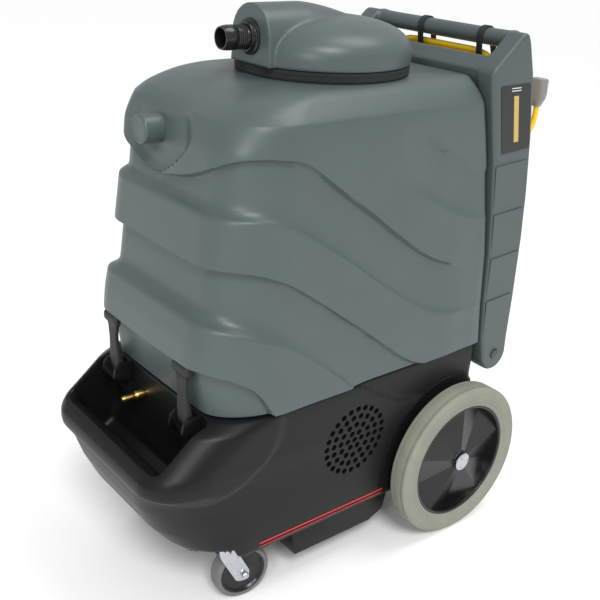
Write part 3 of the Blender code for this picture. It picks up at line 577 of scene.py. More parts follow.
def power_cord():
    coil = coil_line()
    first, second = coil[0], coil[1]
    entry = first - (second - first).normalized() * 0.004
    lead = through([*LEAD, entry], 0.008)
    tail = through([coil[-1], *TAIL], 0.008)
    line = lead[:-1] + coil + tail[1:]
    curve = bpy.data.curves.new("mains_cord", "CURVE")
    curve.dimensions = "3D"
    curve.bevel_depth = CORD_D / 2
    curve.bevel_resolution = 4
    curve.use_fill_caps = True
    spline = curve.splines.new("POLY")
    spline.points.add(len(line) - 1)
    for point, place in zip(spline.points, line):
        point.co = (*place, 1)
    curve.materials.append(LOOKS["cord_yellow"])
    obj = bpy.data.objects.new("mains_cord", curve)
    bpy.context.scene.collection.objects.link(obj)
    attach(obj, "tank")
    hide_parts("power_cord", "cord_coil", "cord_tail")
    length = sum((b - a).length for a, b in zip(line, line[1:]))
    return obj, length


mains_cord, cord_length = power_cord()


# ---------------------------------------------------------------- tank
# Lines of the moulded waves on the tank: (distance t round the front and side, height)
WAVE_TOP = flowing((
    (-0.30, 0.778), (
        -0.211, 0.790
    ), (-0.160, 0.775), (-0.123, 0.752), (-0.083, 0.733), (-0.046, 0.727), (0.006, 0.733),
    (
        0.050, 0.742
    ), (0.085, 0.752), (0.143, 0.776), (0.174, 0.787), (0.211, 0.790), (0.245, 0.787), (0.275, 0.777),
    (
        0.303, 0.761
    ), (0.373, 0.711), (0.421, 0.678), (0.471, 0.639), (0.524, 0.601), (0.566, 0.575), (0.615, 0.555),
    (0.670, 0.545), (0.715, 0.537),
))
BAND1_TOP = flowing((
    (0.0, 0.700), (
        0.160, 0.700
    ), (0.219, 0.698), (0.248, 0.689), (0.285, 0.668), (0.328, 0.640), (0.374, 0.608),
    (0.421, 0.572), (0.472, 0.535), (0.526, 0.499), (0.571, 0.475), (0.625, 0.460), (0.730, 0.458),
))
BAND1_LOW = flowing((
    (0.0, 0.622), (
        0.173, 0.624
    ), (0.204, 0.620), (0.227, 0.613), (0.253, 0.597), (0.330, 0.542), (0.378, 0.506),
    (0.428, 0.469), (0.474, 0.431), (0.509, 0.404), (0.542, 0.385), (0.577, 0.372), (0.700, 0.340),
))
BAND2_TOP = flowing((
    (0.0, 0.538), (
        0.113, 0.539
    ), (0.141, 0.536), (0.173, 0.532), (0.200, 0.523), (0.230, 0.509), (0.255, 0.492),
    (0.290, 0.467), (0.331, 0.435), (0.368, 0.403), (0.400, 0.374), (0.440, 0.335), (0.700, 0.300),
))
BAND2_LOW = flowing((
    (0.0, 0.462), (
        0.151, 0.464
    ), (0.182, 0.455), (0.204, 0.442), (0.219, 0.424), (0.231, 0.399), (0.243, 0.373),
    (0.262, 0.330), (0.700, 0.260),
), 0.006)
GROOVE_TOP = flowing((
    (0.0, 0.822), (
        0.440, 0.822
    ), (0.483, 0.816), (0.519, 0.799), (0.555, 0.777), (0.589, 0.752), (0.630, 0.729),
    (0.661, 0.717), (0.700, 0.711),
))
GROOVE_LOW = flowing((
    (0.0, 0.806), (
        0.387, 0.800
    ), (0.420, 0.778), (0.449, 0.746), (0.487, 0.717), (0.527, 0.691), (0.567, 0.667),
    (0.608, 0.647), (0.650, 0.633), (0.702, 0.623),
))
FIN = flowing(
    (
        (0.60, -0.20), (0.733, -0.006), (0.745, 0.014), (0.769, 0.048), (0.792, 0.075), (0.812, 0.085),
        (0.840, 0.100),
    ),
    0.004
)
TANK_COUNTS = (40, 46, 84, 5, 12)
# Height, half width, front, rear, front corner across and along, under the raised waves
TANK_STATIONS = np.array((
    (0.377, 0.1960, -0.2700, 0.306, 0.075, 0.125), (0.452, 0.1950, -0.2830, 0.300, 0.075, 0.120),
    (0.500, 0.1940, -0.2790, 0.298, 0.075, 0.116), (0.553, 0.1925, -0.2680, 0.297, 0.075, 0.110),
    (0.622, 0.1905, -0.2600, 0.288, 0.075, 0.105), (0.711, 0.1885, -0.2480, 0.275, 0.075, 0.100),
    (0.748, 0.1880, -0.2440, 0.268, 0.075, 0.097), (0.790, 0.1875, -0.2410, 0.258, 0.077, 0.098),
    (0.832, 0.1850, -0.2350, 0.250, 0.080, 0.098), (0.850, 0.1770, -0.2180, 0.247, 0.080, 0.092),
))
TANK_CROWN = (
    (0.832, 0.1850, -0.2350, 0.2500, 0.080, 0.098), (0.848, 0.1785, -0.2140, 0.2490, 0.080, 0.090),
    (0.8630, 0.1620, -0.1760, 0.2470, 0.075, 0.080), (0.8700, 0.1460, -0.1350, 0.2440, 0.070, 0.070),
)
REAR_CORNER = 0.012
CROWN_Z = 0.832


def ledge(z, low, high, turning):
    """1 on a raised band: a tight step under it, an easy slope over it that is longer on the sides."""
    over = 0.6 * smoothstep(-0.003, 0.008, z - high) + 0.4 * smoothstep(
        -0.003, 0.012 + 0.030 * turning, z - high
    )
    return smoothstep(-0.0045, 0.0, z - low) * (1 - over)


def wave_height(t, z):
    """How far the tank's skin stands proud at a place on it."""
    d = np.abs(t)
    turning = smoothstep(0.13, 0.31, d)
    side = 0.0100 - 0.0020 * smoothstep(0.40, 0.66, d)
    band2 = (0.0185 + (side - 0.0185) * turning) * ledge(z, BAND2_LOW(d), BAND2_TOP(d), turning)
    band1 = (0.0155 + (side - 0.0155) * turning) * ledge(z, BAND1_LOW(d), BAND1_TOP(d), turning)
    fading = smoothstep(0.56, 0.70, d)
    wave = WAVE_TOP(np.where((t < 0) & (d < 0.15), t, d))
    above = smoothstep(-0.0045, 0.0, z - wave)
    above = above + (1 - above) * fading * smoothstep(-0.03, 0.02, z - BAND1_TOP(d))
    groove = smoothstep(0.46, 0.56, d) * smoothstep(-0.004, 0.004, z - GROOVE_LOW(d) - 0.004)
    groove = groove * (1 - smoothstep(-0.004, 0.0005, z - GROOVE_TOP(d)))
    ease = 1 - 0.62 * smoothstep(0.790, 0.835, z) * (1 - turning)
    shoulder = (0.0125 + (side - 0.0125) * smoothstep(0.16, 0.34, d)) * above * ease * (1 - groove)
    left_of_fin = smoothstep(0.0, 0.007, FIN(z) - t)
    round_boss = np.hypot((t + 0.038) / 0.100, (z - 0.790) / 0.072)
    dish = left_of_fin * (1 - smoothstep(0.70, 1.12, round_boss))
    pit = np.exp(-(((t + 0.050) / 0.024) ** 2 + ((z - 0.768) / 0.010) ** 2))
    lip = np.exp(
        -(((FIN(z) - t + 0.004) / 0.012) ** 2)
    ) * smoothstep(0.738, 0.756, z) * (1 - smoothstep(0.812, 0.834, z))
    skin_rise = band2 + band1 + shoulder * (1 - 0.92 * dish) - 0.0035 * dish - 0.006 * pit + 0.0022 * lip
    rear = 0.7 * smoothstep(0.610, 0.680, d) + 0.3 * smoothstep(0.688, 0.704, d)
    return skin_rise * (1 - rear) + 0.0035 * rear


def cosine_rows(low, high, count):
    s = (1 - np.cos(np.pi * np.arange(count) / count)) / 2
    return low + (high - low) * s[:, None]


def tank_body():
    """Tank: every row of its skin follows the waves, so that their edges stay clean."""
    x0, y0, t0, n0 = plan_ring(*TANK_STATIONS[4][1:6], REAR_CORNER, TANK_COUNTS)
    d = np.abs(t0)
    signed_wave = WAVE_TOP(np.where((t0 < 0) & (d < 0.15), t0, d))
    lines = [np.full_like(t0, 0.377)]
    for line in (
        BAND2_LOW(d), BAND2_TOP(d), BAND1_LOW(d), BAND1_TOP(d), signed_wave, GROOVE_LOW(d), GROOVE_TOP(d)
    ):
        lines.append(np.maximum(line, lines[-1] + 0.0012))
    lines.append(np.full_like(t0, CROWN_Z))
    counts = (12, 13, 12, 13, 12, 14, 8, 8)
    levels = []
    for low, high, count in zip(lines, lines[1:], counts):
        levels.append(cosine_rows(low, high, count))
    levels = np.vstack([*levels, lines[-1][None]])
    rows = []
    grid = np.arange(0.36, 0.86, 0.001)
    eased = []
    for k in range(1, 6):
        raw = np.interp(grid, TANK_STATIONS[:, 0], TANK_STATIONS[:, k])
        weights = np.exp(-0.5 * (np.arange(-24, 25) / 9.0) ** 2)
        eased.append(np.convolve(np.pad(raw, 24, mode="edge"), weights / weights.sum(), mode="valid"))
    columns = np.arange(len(t0))
    table = []
    for z in grid[::4]:
        values = [float(np.interp(z, grid, e)) for e in eased]
        x, y, t, n = plan_ring(*values, REAR_CORNER, TANK_COUNTS)
        table.append(np.column_stack([x, y, t, n]))
    table = np.array(table)
    heights = grid[::4]

    def base_at(z):
        spot = np.clip((z - heights[0]) / 0.004, 0, len(heights) - 1.001)
        k = spot.astype(int)
        f = (spot - k)[:, None]
        return table[k, columns] * (1 - f) + table[k + 1, columns] * f

    for z in levels:
        here = base_at(z)
        rise = wave_height(here[:, 2], z)
        rows.append([(h[0] + h[3] * r, h[1] + h[4] * r, zz) for h, r, zz in zip(here, rise, z)])
    start = np.array(rows[-1])
    crown = [start]
    for station in TANK_CROWN[1:]:
        x, y, t, n = plan_ring(*station[1:6], REAR_CORNER, TANK_COUNTS)
        crown.append(np.column_stack([x, y, np.full(len(x), station[0])]))
    before = 2 * crown[0] - crown[1]
    before[:, 2] = CROWN_Z - 0.020
    after = crown[-1].copy()
    after[:, :2] *= 0.85
    chain = [before, *crown, after]
    for a, b, c, e in zip(chain, chain[1:], chain[2:], chain[3:]):
        for i in range(1, 7):
            curve = catmull(a, b, c, e, i / 6)
            curve[:, 2] = np.minimum(curve[:, 2], 0.870)
            rows.append([tuple(p) for p in curve])
    rim = crown[-1]
    angle = np.arctan2(rim[:, 1] - LID_Y, rim[:, 0])
    for z in (0.8700, 0.8640):
        rows.append([(0.104 * math.cos(a), LID_Y + 0.104 * math.sin(a), z) for a in angle])
    inner = (
        (0.862, 0.130, -0.110, 0.225), (0.846, 0.166, -0.195, 0.236), (0.820, 0.178, -0.226, 0.243),
        (
            0.740, 0.180, -0.234, 0.262
        ), (0.560, 0.185, -0.256, 0.286), (0.440, 0.188, -0.270, 0.292), (0.385, 0.188, -0.262, 0.296),
    )
    for z, half, front, rear in inner:
        x, y, t, n = plan_ring(half, front, rear, 0.070, 0.090, 0.020, TANK_COUNTS)
        rows.append(list(zip(x, y, np.full(len(x), z))))
    keep(thing("tank_body", skin(rows)), "tank", "tank_grey", ["tank_shell"], 50)


tank_body()
boss = turned(
    soft(
        [(0, -0.2715), (0.0175, -0.2715), (0.0195, -0.2730), (0.0232, -0.2700), (0.0240, -0.2150), (0, -0.2150)],
        0.0022
    ),
    "Y", (-0.050, 0, 0.791), 64,
)
keep(thing("tank_boss", boss), "tank", "tank_grey")

# ---------------------------------------------------------------- base
BASE_COUNTS = (30, 34, 90, 5, 12)
BASE_STATIONS = np.array((
    (0.1045, 0.183, -0.280, 0.304, 0.085, 0.070), (0.1120, 0.186, -0.295, 0.310, 0.095, 0.085),
    (0.1340, 0.188, -0.321, 0.313, 0.105, 0.115), (0.1660, 0.189, -0.346, 0.314, 0.110, 0.135),
    (0.2160, 0.190, -0.370, 0.314, 0.105, 0.135), (0.2400, 0.191, -0.3770, 0.314, 0.098, 0.125),
    (0.2560, 0.192, -0.3800, 0.314, 0.086, 0.115), (0.2640, 0.193, -0.3885, 0.314, 0.070, 0.100),
    (0.2760, 0.194, -0.3900, 0.314, 0.068, 0.098), (0.2880, 0.195, -0.3880, 0.314, 0.065, 0.095),
    (0.3000, 0.195, -0.379, 0.314, 0.065, 0.095), (0.3200, 0.196, -0.354, 0.314, 0.065, 0.100),
    (0.3570, 0.198, -0.312, 0.314, 0.070, 0.110), (SEAM_Z, 0.198, -0.276, 0.310, 0.075, 0.125),
))
SWOOSH = flowing(
    ((-0.004, 0.374), (0.040, 0.344), (0.105, 0.308), (0.160, 0.295), (0.210, 0.291), (0.330, 0.290)), 0.010
)
CHEEK = flowing(
    (
        (-0.393, 0.262), (-0.350, 0.256), (-0.297, 0.247), (-0.242, 0.256), (-0.186, 0.292), (-0.164, 0.321),
        (-0.157, 0.348),
    ),
    0.008, -0.5
)


def base_rise(y, z):
    """Raised cheek in front and the sunk field over the rear ledge."""
    cheek = smoothstep(-0.004, 0.003, z - CHEEK(y)) * (
        1 - smoothstep(-0.172, -0.152, y)
    ) * smoothstep(-0.388, -0.350, y)
    field = smoothstep(0.0, 0.005, z - SWOOSH(y)) * smoothstep(-0.012, 0.006, y)
    return 0.0035 * cheek - 0.0065 * field


def base_outer():
    grid = np.arange(0.1045, SEAM_Z + 0.0001, 0.0035)
    grid = np.append(grid, SEAM_Z)
    rows = []
    for z in grid:
        values = [float(np.interp(z, BASE_STATIONS[:, 0], BASE_STATIONS[:, k])) for k in range(1, 6)]
        x, y, t, n = plan_ring(*values, 0.020, BASE_COUNTS)
        rise = base_rise(y, np.full(len(y), z)) * smoothstep(0.0, 0.6, np.abs(n[:, 0]))
        rows.append([(a + m[0] * r, b + m[1] * r, z) for a, b, m, r in zip(x, y, n, rise)])
    return thing("base_body", skin(rows))


def plan_loft(stations, rear, rear_corner, counts=(4, 8, 4, 3, 2)):
    rows = []
    for half, front, across, along, z in stations:
        x, y, t, n = plan_ring(half, front, rear, across, along, rear_corner, counts)
        rows.append(list(zip(x, y, np.full(len(x), z))))
    return skin(rows)


def base_body():
    shell = base_outer()
    pocket = [
        (-0.272, 0.420), (-0.272, 0.262), (-0.279, 0.232), (-0.300, 0.217), (-0.320, 0.217), (-0.334, 0.230),
        (-0.3440, 0.256), *arc(
            (-0.3620, 0.284), 0.0155, 0, 70, 5
        ), (-0.376, 0.304), (-0.420, 0.312), (-0.420, 0.420),
    ]
    pocket = thing("pocket", slab(pocket, -0.155, 0.155))
    rounded(pocket, 0.012, 4, 60)
    hollow = thing(
        "hollow", plan_loft([(0.1815, -0.264, 0.070, 0.125, z) for z in (0.137, 0.420)], 0.304, 0.010)
    )
    floor = [
        (-0.108, 0.150), (-0.108, 0.122), (-0.096, 0.112), (-0.096, 0.060), (0.086, 0.060), (0.086, 0.112),
        (0.302, 0.112), (0.302, 0.150),
    ]
    cuts = [pocket, hollow, thing("floor_cut", slab(floor, -0.172, 0.172))]
    well = (
        (0.1790, -0.275, 0.060, 0.052, 0.060), (0.1790, -0.275, 0.060, 0.052, 0.1045),
        (0.1815, -0.289, 0.068, 0.065, 0.113), (0.1825, -0.304, 0.072, 0.085, 0.130),
    )
    cuts.append(thing("well", plan_loft(well, -0.118, 0.010)))
    for side, sign in SIDES:
        low, high = span(sign, 0.1865, 0.2165)
        cuts.append(thing(f"arch_{side}", rod(WHEEL_R + 0.012, low, high, "X", (0, AXLE_Y, WHEEL_R))))
        cuts.append(thing(f"under_{side}", box((low, AXLE_Y, -0.020), (high, AXLE_Y + 0.180, 0.260))))
    carve(shell, cuts)
    lug = [(0.300, 0.306), (0.340, 0.306), *arc((PIVOT_Y, PIVOT_Z), 0.020, -60, 120, 12), (0.300, 0.364)]
    adds = []
    for side, sign in SIDES:
        low, high = span(sign, 0.128, 0.1575)
        adds.append(thing(f"lug_{side}", slab(lug, low, high)))
        gusset = [(-0.268, 0.345), (-0.296, 0.345), (-0.290, 0.330), (-0.268, 0.268)]
        adds.append(thing(f"gusset_{side}", slab(gusset, sign * LATCH_X - 0.009, sign * LATCH_X + 0.009)))
    carve(shell, adds, "UNION")
    moulded(shell, 0.0032, 3, 130000)
    return shell


def points_object(name, places):
    """Loose points for a tool to put its copies on."""
    bm = bmesh.new()
    for place in places:
        bm.verts.new(place)
    return thing(name, bm)


def node_tool(name, sockets, fill):
    """A Geometry Nodes tree with named inputs that ends in Realize Instances and Set Material."""
    tree = bpy.data.node_groups.new(name, "GeometryNodeTree")
    tree.interface.new_socket("Geometry", in_out="INPUT", socket_type="NodeSocketGeometry")
    ids = {
        key: tree.interface.new_socket(key, in_out="INPUT", socket_type=kind).identifier for key,
        kind in sockets
    }
    tree.interface.new_socket("Geometry", in_out="OUTPUT", socket_type="NodeSocketGeometry")
    nodes, links = tree.nodes, tree.links
    source, end = nodes.new("NodeGroupInput"), nodes.new("NodeGroupOutput")
    made = fill(nodes, links, source)
    real = nodes.new("GeometryNodeRealizeInstances")
    paint = nodes.new("GeometryNodeSetMaterial")
    links.new(made, real.inputs["Geometry"])
    links.new(real.outputs["Geometry"], paint.inputs["Geometry"])
    links.new(source.outputs["Finish"], paint.inputs["Material"])
    links.new(paint.outputs["Geometry"], end.inputs["Geometry"])
    return tree, ids


def pins_fill(nodes, links, source):
    """A round pin on every point, lying along X."""
    pin = nodes.new("GeometryNodeMeshCylinder")
    pin.inputs["Vertices"].default_value = 16
    links.new(source.outputs["Radius"], pin.inputs["Radius"])
    links.new(source.outputs["Depth"], pin.inputs["Depth"])
    onto = nodes.new("GeometryNodeInstanceOnPoints")
    onto.inputs["Rotation"].default_value = (0, math.pi / 2, 0)
    links.new(source.outputs["Geometry"], onto.inputs["Points"])
    links.new(pin.outputs["Mesh"], onto.inputs["Instance"])
    return onto.outputs["Instances"]


def ring_fill(nodes, links, source):
    """Copies of the shape, each turned one step further round the origin."""
    spots = nodes.new("GeometryNodePoints")
    links.new(source.outputs["Count"], spots.inputs["Count"])
    index = nodes.new("GeometryNodeInputIndex")
    turn = nodes.new("ShaderNodeVectorMath")
    turn.operation = "SCALE"
    links.new(source.outputs["Step"], turn.inputs[0])
    links.new(index.outputs[0], turn.inputs["Scale"])
    onto = nodes.new("GeometryNodeInstanceOnPoints")
    links.new(spots.outputs[0], onto.inputs["Points"])
    links.new(source.outputs["Geometry"], onto.inputs["Instance"])
    links.new(turn.outputs["Vector"], onto.inputs["Rotation"])
    return onto.outputs["Instances"]


PINS = node_tool(
    "pins", (
        ("Radius", "NodeSocketFloat"), ("Depth", "NodeSocketFloat"), ("Finish", "NodeSocketMaterial")
    ), pins_fill,
)
RING = node_tool(
    "ring", (
        ("Count", "NodeSocketInt"), ("Step", "NodeSocketVector"), ("Finish", "NodeSocketMaterial")
    ), ring_fill,
)


def grown(obj, tool, **values):
    """Runs a Geometry Nodes tool on an object and keeps the result as its plain mesh."""
    tree, ids = tool
    modifier = obj.modifiers.new("nodes", "NODES")
    modifier.node_group = tree
    for key, value in values.items():
        modifier[ids[key]] = value
    return settle(obj)


def around(name, bm, count, axis, at, look):
    """Copies of a shape round an axis through a place."""
    step = [0, 0, 0]
    step["XYZ".index(axis)] = 2 * math.pi / count
    obj = grown(thing(name, bm, look), RING, Count=count, Step=step, Finish=LOOKS[look])
    obj.data.transform(Matrix.Translation(at))
    return obj


VENT_Y, VENT_Z = 0.007, 0.262


def vents():
    """Drilled vents: rings of holes through both side walls."""
    tools = []
    for side, sign in SIDES:
        places = [(sign * 0.190, VENT_Y, VENT_Z)]
        for ring in range(1, 5):
            for i in range(6 * ring):
                a = 2 * math.pi * i / (6 * ring)
                places.append(
                    (sign * 0.190, VENT_Y + 0.0158 * ring * math.cos(a), VENT_Z + 0.0158 * ring * math.sin(a))
                )
        pins = points_object(f"vent_{side}", places)
        tools.append(grown(pins, PINS, Radius=0.0056, Depth=0.026, Finish=LOOKS["base_black"]))
    return tools


def tube_along(points, radius, sides=10):
    """A closed round tube along a polyline."""
    rows = []
    for i, point in enumerate(points):
        ahead = points[min(i + 1, len(points) - 1)] - points[max(i - 1, 0)]
        side = ahead.cross(Vector((1, 0, 0))).normalized()
        up = ahead.normalized().cross(side)
        angles = (2 * math.pi * k / sides for k in range(sides))
        rows.append([point + side * radius * math.cos(a) + up * radius * math.sin(a) for a in angles])
    return skin(rows)


base = base_body()
tools = vents()
for side, sign in SIDES:
    seam = through(
        [(sign * 0.2010, -0.160, 0.376), (sign * 0.2010, -0.115, 0.297), (sign * 0.1945, -0.015, 0.142)], 0.008
    )
    tools.append(thing(f"seam_{side}", tube_along(seam, 0.0030)))
tools.append(thing("axle_hole", rod(0.0083, -0.25, 0.25, "X", (0, AXLE_Y, WHEEL_R), 32)))
tools.append(thing("nipple_hole", rod(0.0083, -0.290, -0.250, "Y", NIPPLE, 32)))
tools.append(thing("bolt_hole", rod(0.0063, -0.17, 0.17, "X", (0, PIVOT_Y, PIVOT_Z), 32)))
carve(base, tools)
keep(base, "base", "base_black", ["base_shell"], 50)

pan = [(-0.1105, 0.1041), (-0.100, 0.048), (0.078, 0.048), (0.112, 0.062), (0.1215, 0.1041)]
pan = thing("motor_cover", slab(pan, -0.174, 0.174))
pan_inner = [(-0.094, 0.130), (-0.094, 0.054), (0.074, 0.054), (0.104, 0.067), (0.108, 0.130)]
carve(pan, [thing("pan_cut", slab(pan_inner, -0.168, 0.168))])
keep(rounded(pan, 0.0035, 3), "base", "base_black", ["belly_pan"])


def side_stripes():
    """Plain red lines low on the sides, laid on the shell."""
    for side, sign in SIDES:
        bm = bmesh.new()
        for low, high, start, end in ((0.1215, 0.1245, -0.190, 0.092), (0.1145, 0.1160, -0.190, 0.092)):
            rows = []
            for i in range(48):
                y = start + (end - start) * i / 47
                section = []
                for z, out in ((low, 0.0009), (high, 0.0009), (high, -0.0010), (low, -0.0010)):
                    half, front, along, across = (
                        float(np.interp(z, BASE_STATIONS[:, 0], BASE_STATIONS[:, k])) for k in (1, 2, 5, 4)
                    )
                    lead = max(0.0, (front + along - y) / along)
                    x = half - across * (1 - math.sqrt(max(0.0, 1 - min(1.0, lead) ** 2)))
                    section.append((sign * (x + out), y, z))
                rows.append(section)
            bm = together(bm, skin(rows))
        keep(thing(f"side_stripe_{side}", bm), "base", "stripe_red")


side_stripes()

# ---------------------------------------------------------------- handle frame
UPRIGHT = (
    (0.3195, 0.345), (0.3130, 0.379), (0.3060, 0.463), (0.3035, 0.542), (0.2950, 0.628), (0.2825, 0.723),
    (0.2510, 0.866), (0.2510, 0.877), (0.2560, 0.886), (0.3160, 0.9380), (0.3240, 0.9415), (0.3330, 0.9385),
    (0.3395, 0.925), (0.3570, 0.871), (0.3745, 0.760), (0.3850, 0.660), (0.3900, 0.567), (0.3905, 0.443),
    (0.3885, 0.371),
)
PANEL_FRONT = (
    (0.3090, 0.400), (0.3090, 0.463), (0.3070, 0.542), (0.2985, 0.628), (0.2860, 0.723), (0.2545, 0.868)
)
LEDGES = (0.720, 0.630, 0.545, 0.460)
RIB_GAP = 0.012


def edge_at(z, rear):
    """Y of the upright's front or rear edge at a height."""
    points = [p for i, p in enumerate(UPRIGHT) if (i >= 12) == rear]
    points = sorted((b, a) for a, b in points)
    return float(np.interp(z, [p[0] for p in points], [p[1] for p in points]))


def frame_body():
    outline = [*UPRIGHT, *arc((PIVOT_Y, PIVOT_Z), 0.0345, -10, -165, 12)]
    first = thing("frame_body", slab(outline, -0.198, -0.160))
    rounded(first, 0.006, 3, 40)
    second = rounded(thing("upright", slab(outline, 0.160, 0.198)), 0.006, 3, 40)
    back = [(y + 0.024, z) for y, z in reversed(PANEL_FRONT)]
    panel = [*PANEL_FRONT, (0.2545, 0.8800), (0.2770, 0.9020), (0.2860, 0.8950), *back]
    panel = thing("panel", slab(panel, -0.172, 0.172))
    flare = []
    for side, sign in SIDES:
        profile = [(0, 0.120), (BAR_R, 0.120), (0.0152, 0.146), (0.0160, 0.155), (0.0175, 0.164), (0, 0.164)]
        flare.append(thing(f"flare_{side}", turned(sided(profile, sign), "X", (0, BAR_Y, BAR_Z), 48)))
    bar = thing("bar", rod(BAR_R, -0.172, 0.172, "X", (0, BAR_Y, BAR_Z), 48))
    ribs = []
    for side, sign in SIDES:
        for top, low in zip(LEDGES, LEDGES[1:] + (0.378,)):
            foot = low + RIB_GAP
            rib = [
                (edge_at(foot, False) + 0.003, foot), (edge_at(top, False) + 0.003, top - 0.003),
                (edge_at(top, True) - RIB_GAP, top + 0.001), (edge_at(foot, True) - RIB_GAP, foot),
            ]
            bm = slab(rib, *span(sign, 0.192, 0.2004))
            for vert in bm.verts:
                if abs(vert.co.x) > 0.2 and vert.co.z < low + 0.013:
                    vert.co.x = sign * 0.1976
            ribs.append(thing("rib", bm))
    carve(first, [second, panel, bar, *flare], "UNION")
    moulded(first, 0.0030, 2, 130000)
    carve(first, ribs, "UNION")
    holes = [
        thing("pivot_hole", rod(0.0063, -0.25, 0.25, "X", (0, PIVOT_Y, PIVOT_Z), 32)),
        thing("gland_hole", rod(0.0085, 0.290, 0.350, "Y", RELIEF, 32)),
    ]
    carve(first, holes)
    keep(first, "tank", "frame_grey", ["handle_frame"], 50)


frame_body()

# ---------------------------------------------------------------- lid
DOME = [(LID_R - 0.0015, 0.8872), (LID_R, 0.8890)]
for step in range(26):
    angle = math.pi / 2 * step / 26
    DOME.append((LID_R * math.cos(angle) ** (2 / 2.6), 0.899 + 0.059 * math.sin(angle) ** (2 / 2.6)))


def snout(radius, bottom, front, ridge, tail, drop):
    outline = [*arc((0, SNOUT_Z), radius, 0, 180, 36), (-radius - 0.002, bottom), (radius + 0.002, bottom)]
    rows = []
    for i in range(15):
        if i < 2:
            y, low = (front, ridge)[i], 0
        else:
            s = (i - 1) / 13
            y = ridge + (tail - ridge) * s
            low = drop * s**1.4
        rows.append([(x, y, max(bottom, z - low)) for x, z in outline])
    bm = skin(rows)
    bmesh.ops.dissolve_degenerate(bm, dist=1e-6, edges=bm.edges)
    return bm


def lid_dome():
    at = (0, LID_Y, 0)
    outer = thing("lid_dome", turned([(0, 0.8872), *DOME, (0, 0.9580)], "Z", at, 120))
    carve(outer, [thing("snout", snout(0.0505, 0.8872, SNOUT_FRONT, -0.010, 0.118, 0.030))], "UNION")
    inside = [(0, 0.880)] + [(r - 0.0055, z - (0.007 if z < 0.895 else 0.0055)) for r, z in DOME if r > 0.03]
    cuts = [
        thing("dome_cut", turned([*inside, (0, 0.9525)], "Z", at, 72)),
        thing("snout_cut", snout(0.0450, 0.8832, SNOUT_FRONT + 0.0055, -0.012, 0.106, 0.030)),
    ]
    carve(outer, cuts)
    moulded(outer, 0.0020, 2, 190000)
    bm = bmesh.new()
    bm.from_mesh(outer.data)
    valley = []
    for vert in bm.verts:
        x, y, z = vert.co
        along = max(0.0, (y + 0.010) / 0.128)
        axis = SNOUT_Z - 0.030 * along**1.4
        gap = abs(math.hypot(x, max(0.0, z - axis)) - 0.0505)
        if y > -0.085 and gap < 0.014 and 0.936 < z < 0.966:
            valley.append(vert)
    for _ in range(14):
        bmesh.ops.smooth_vert(bm, verts=valley, factor=0.5, use_axis_x=True, use_axis_y=True, use_axis_z=True)
    bm.to_mesh(outer.data)
    bm.free()
    carve(outer, [thing("bore", rod(0.0195, -0.125, -0.080, "Y", (0, 0, SNOUT_Z), 48))])
    keep(outer, "lid", "tank_grey", ["dome_lid"], 50)


lid_dome()
seal = [
    (0.1200, 0.8704), (0.1445, 0.8704), (0.1460, 0.8745), (0.1452, 0.8785), (0.1460, 0.8825), (0.1445, 0.8866),
    (0.1200, 0.8866)
]
keep(
    thing("lid_seal", turned(soft(seal, 0.0015), "Z", (0, LID_Y, 0), 120)), "lid", "foam_black", ["lid_gasket"]
)

face = SNOUT_FRONT
port = [
    (0.0150, face - 0.055), (0.0172, face - 0.055), (0.0185, face - 0.050), (0.0192, face - 0.044),
    (0.0192, face - 0.034), (0.0178, face - 0.032),
]
for ridge in range(5):
    start = face - 0.031 + ridge * 0.0036
    port += [(0.0176, start), (0.0188, start + 0.0010), (0.0188, start + 0.0018), (0.0176, start + 0.0028)]
port += [(0.0190, face - 0.011), (0.0190, face + 0.011), (0.0150, face + 0.011)]
keep(thing("hose_port", turned(port, "Y", (0, 0, SNOUT_Z), 72)), "lid", "gloss_black", ["hose_cuff"], 50)
nut = [
    (0.0193, face - 0.0115), (0.0232, face - 0.0115), (0.0238, face - 0.0050), (0.0280, face - 0.0040),
    (0.0280, face - 0.0004), (0.0193, face - 0.0004),
]
keep(thing("port_nut", turned(soft(nut, 0.0009), "Y", (0, 0, SNOUT_Z), 72)), "lid", "gloss_black", ["cuff_nut"])

# ---------------------------------------------------------------- wheels and casters
OUT_X, IN_X, RIM_R = 0.240, 0.196, 0.115


def tyre(side, sign):
    outline = [(RIM_R, IN_X + 0.004), (0.1300, IN_X + 0.0005), (0.1450, IN_X + 0.0005), (0.1505, IN_X + 0.0045)]
    for start in (IN_X + 0.0070, IN_X + 0.0110, OUT_X - 0.0122, OUT_X - 0.0082):
        outline += [
            (0.1523, start), (0.1498, start + 0.0003), (0.1498, start + 0.0013), (0.1523, start + 0.0016)
        ]
    outline += [
        (0.1505, OUT_X - 0.0045), (0.1450, OUT_X - 0.0006), (0.1300, OUT_X - 0.0006), (0.1285, OUT_X - 0.0016),
        (0.1240, OUT_X - 0.0016), (0.1225, OUT_X - 0.0032), (RIM_R, OUT_X - 0.0042),
    ]
    bm = turned(soft(sided(outline, sign), 0.0005, 2), "X", (0, AXLE_Y, WHEEL_R), 144)
    keep(thing(f"rim_tyre_{side}", bm), f"wheel_{side}", "tyre_grey", [f"tyre_{side}"], 30)


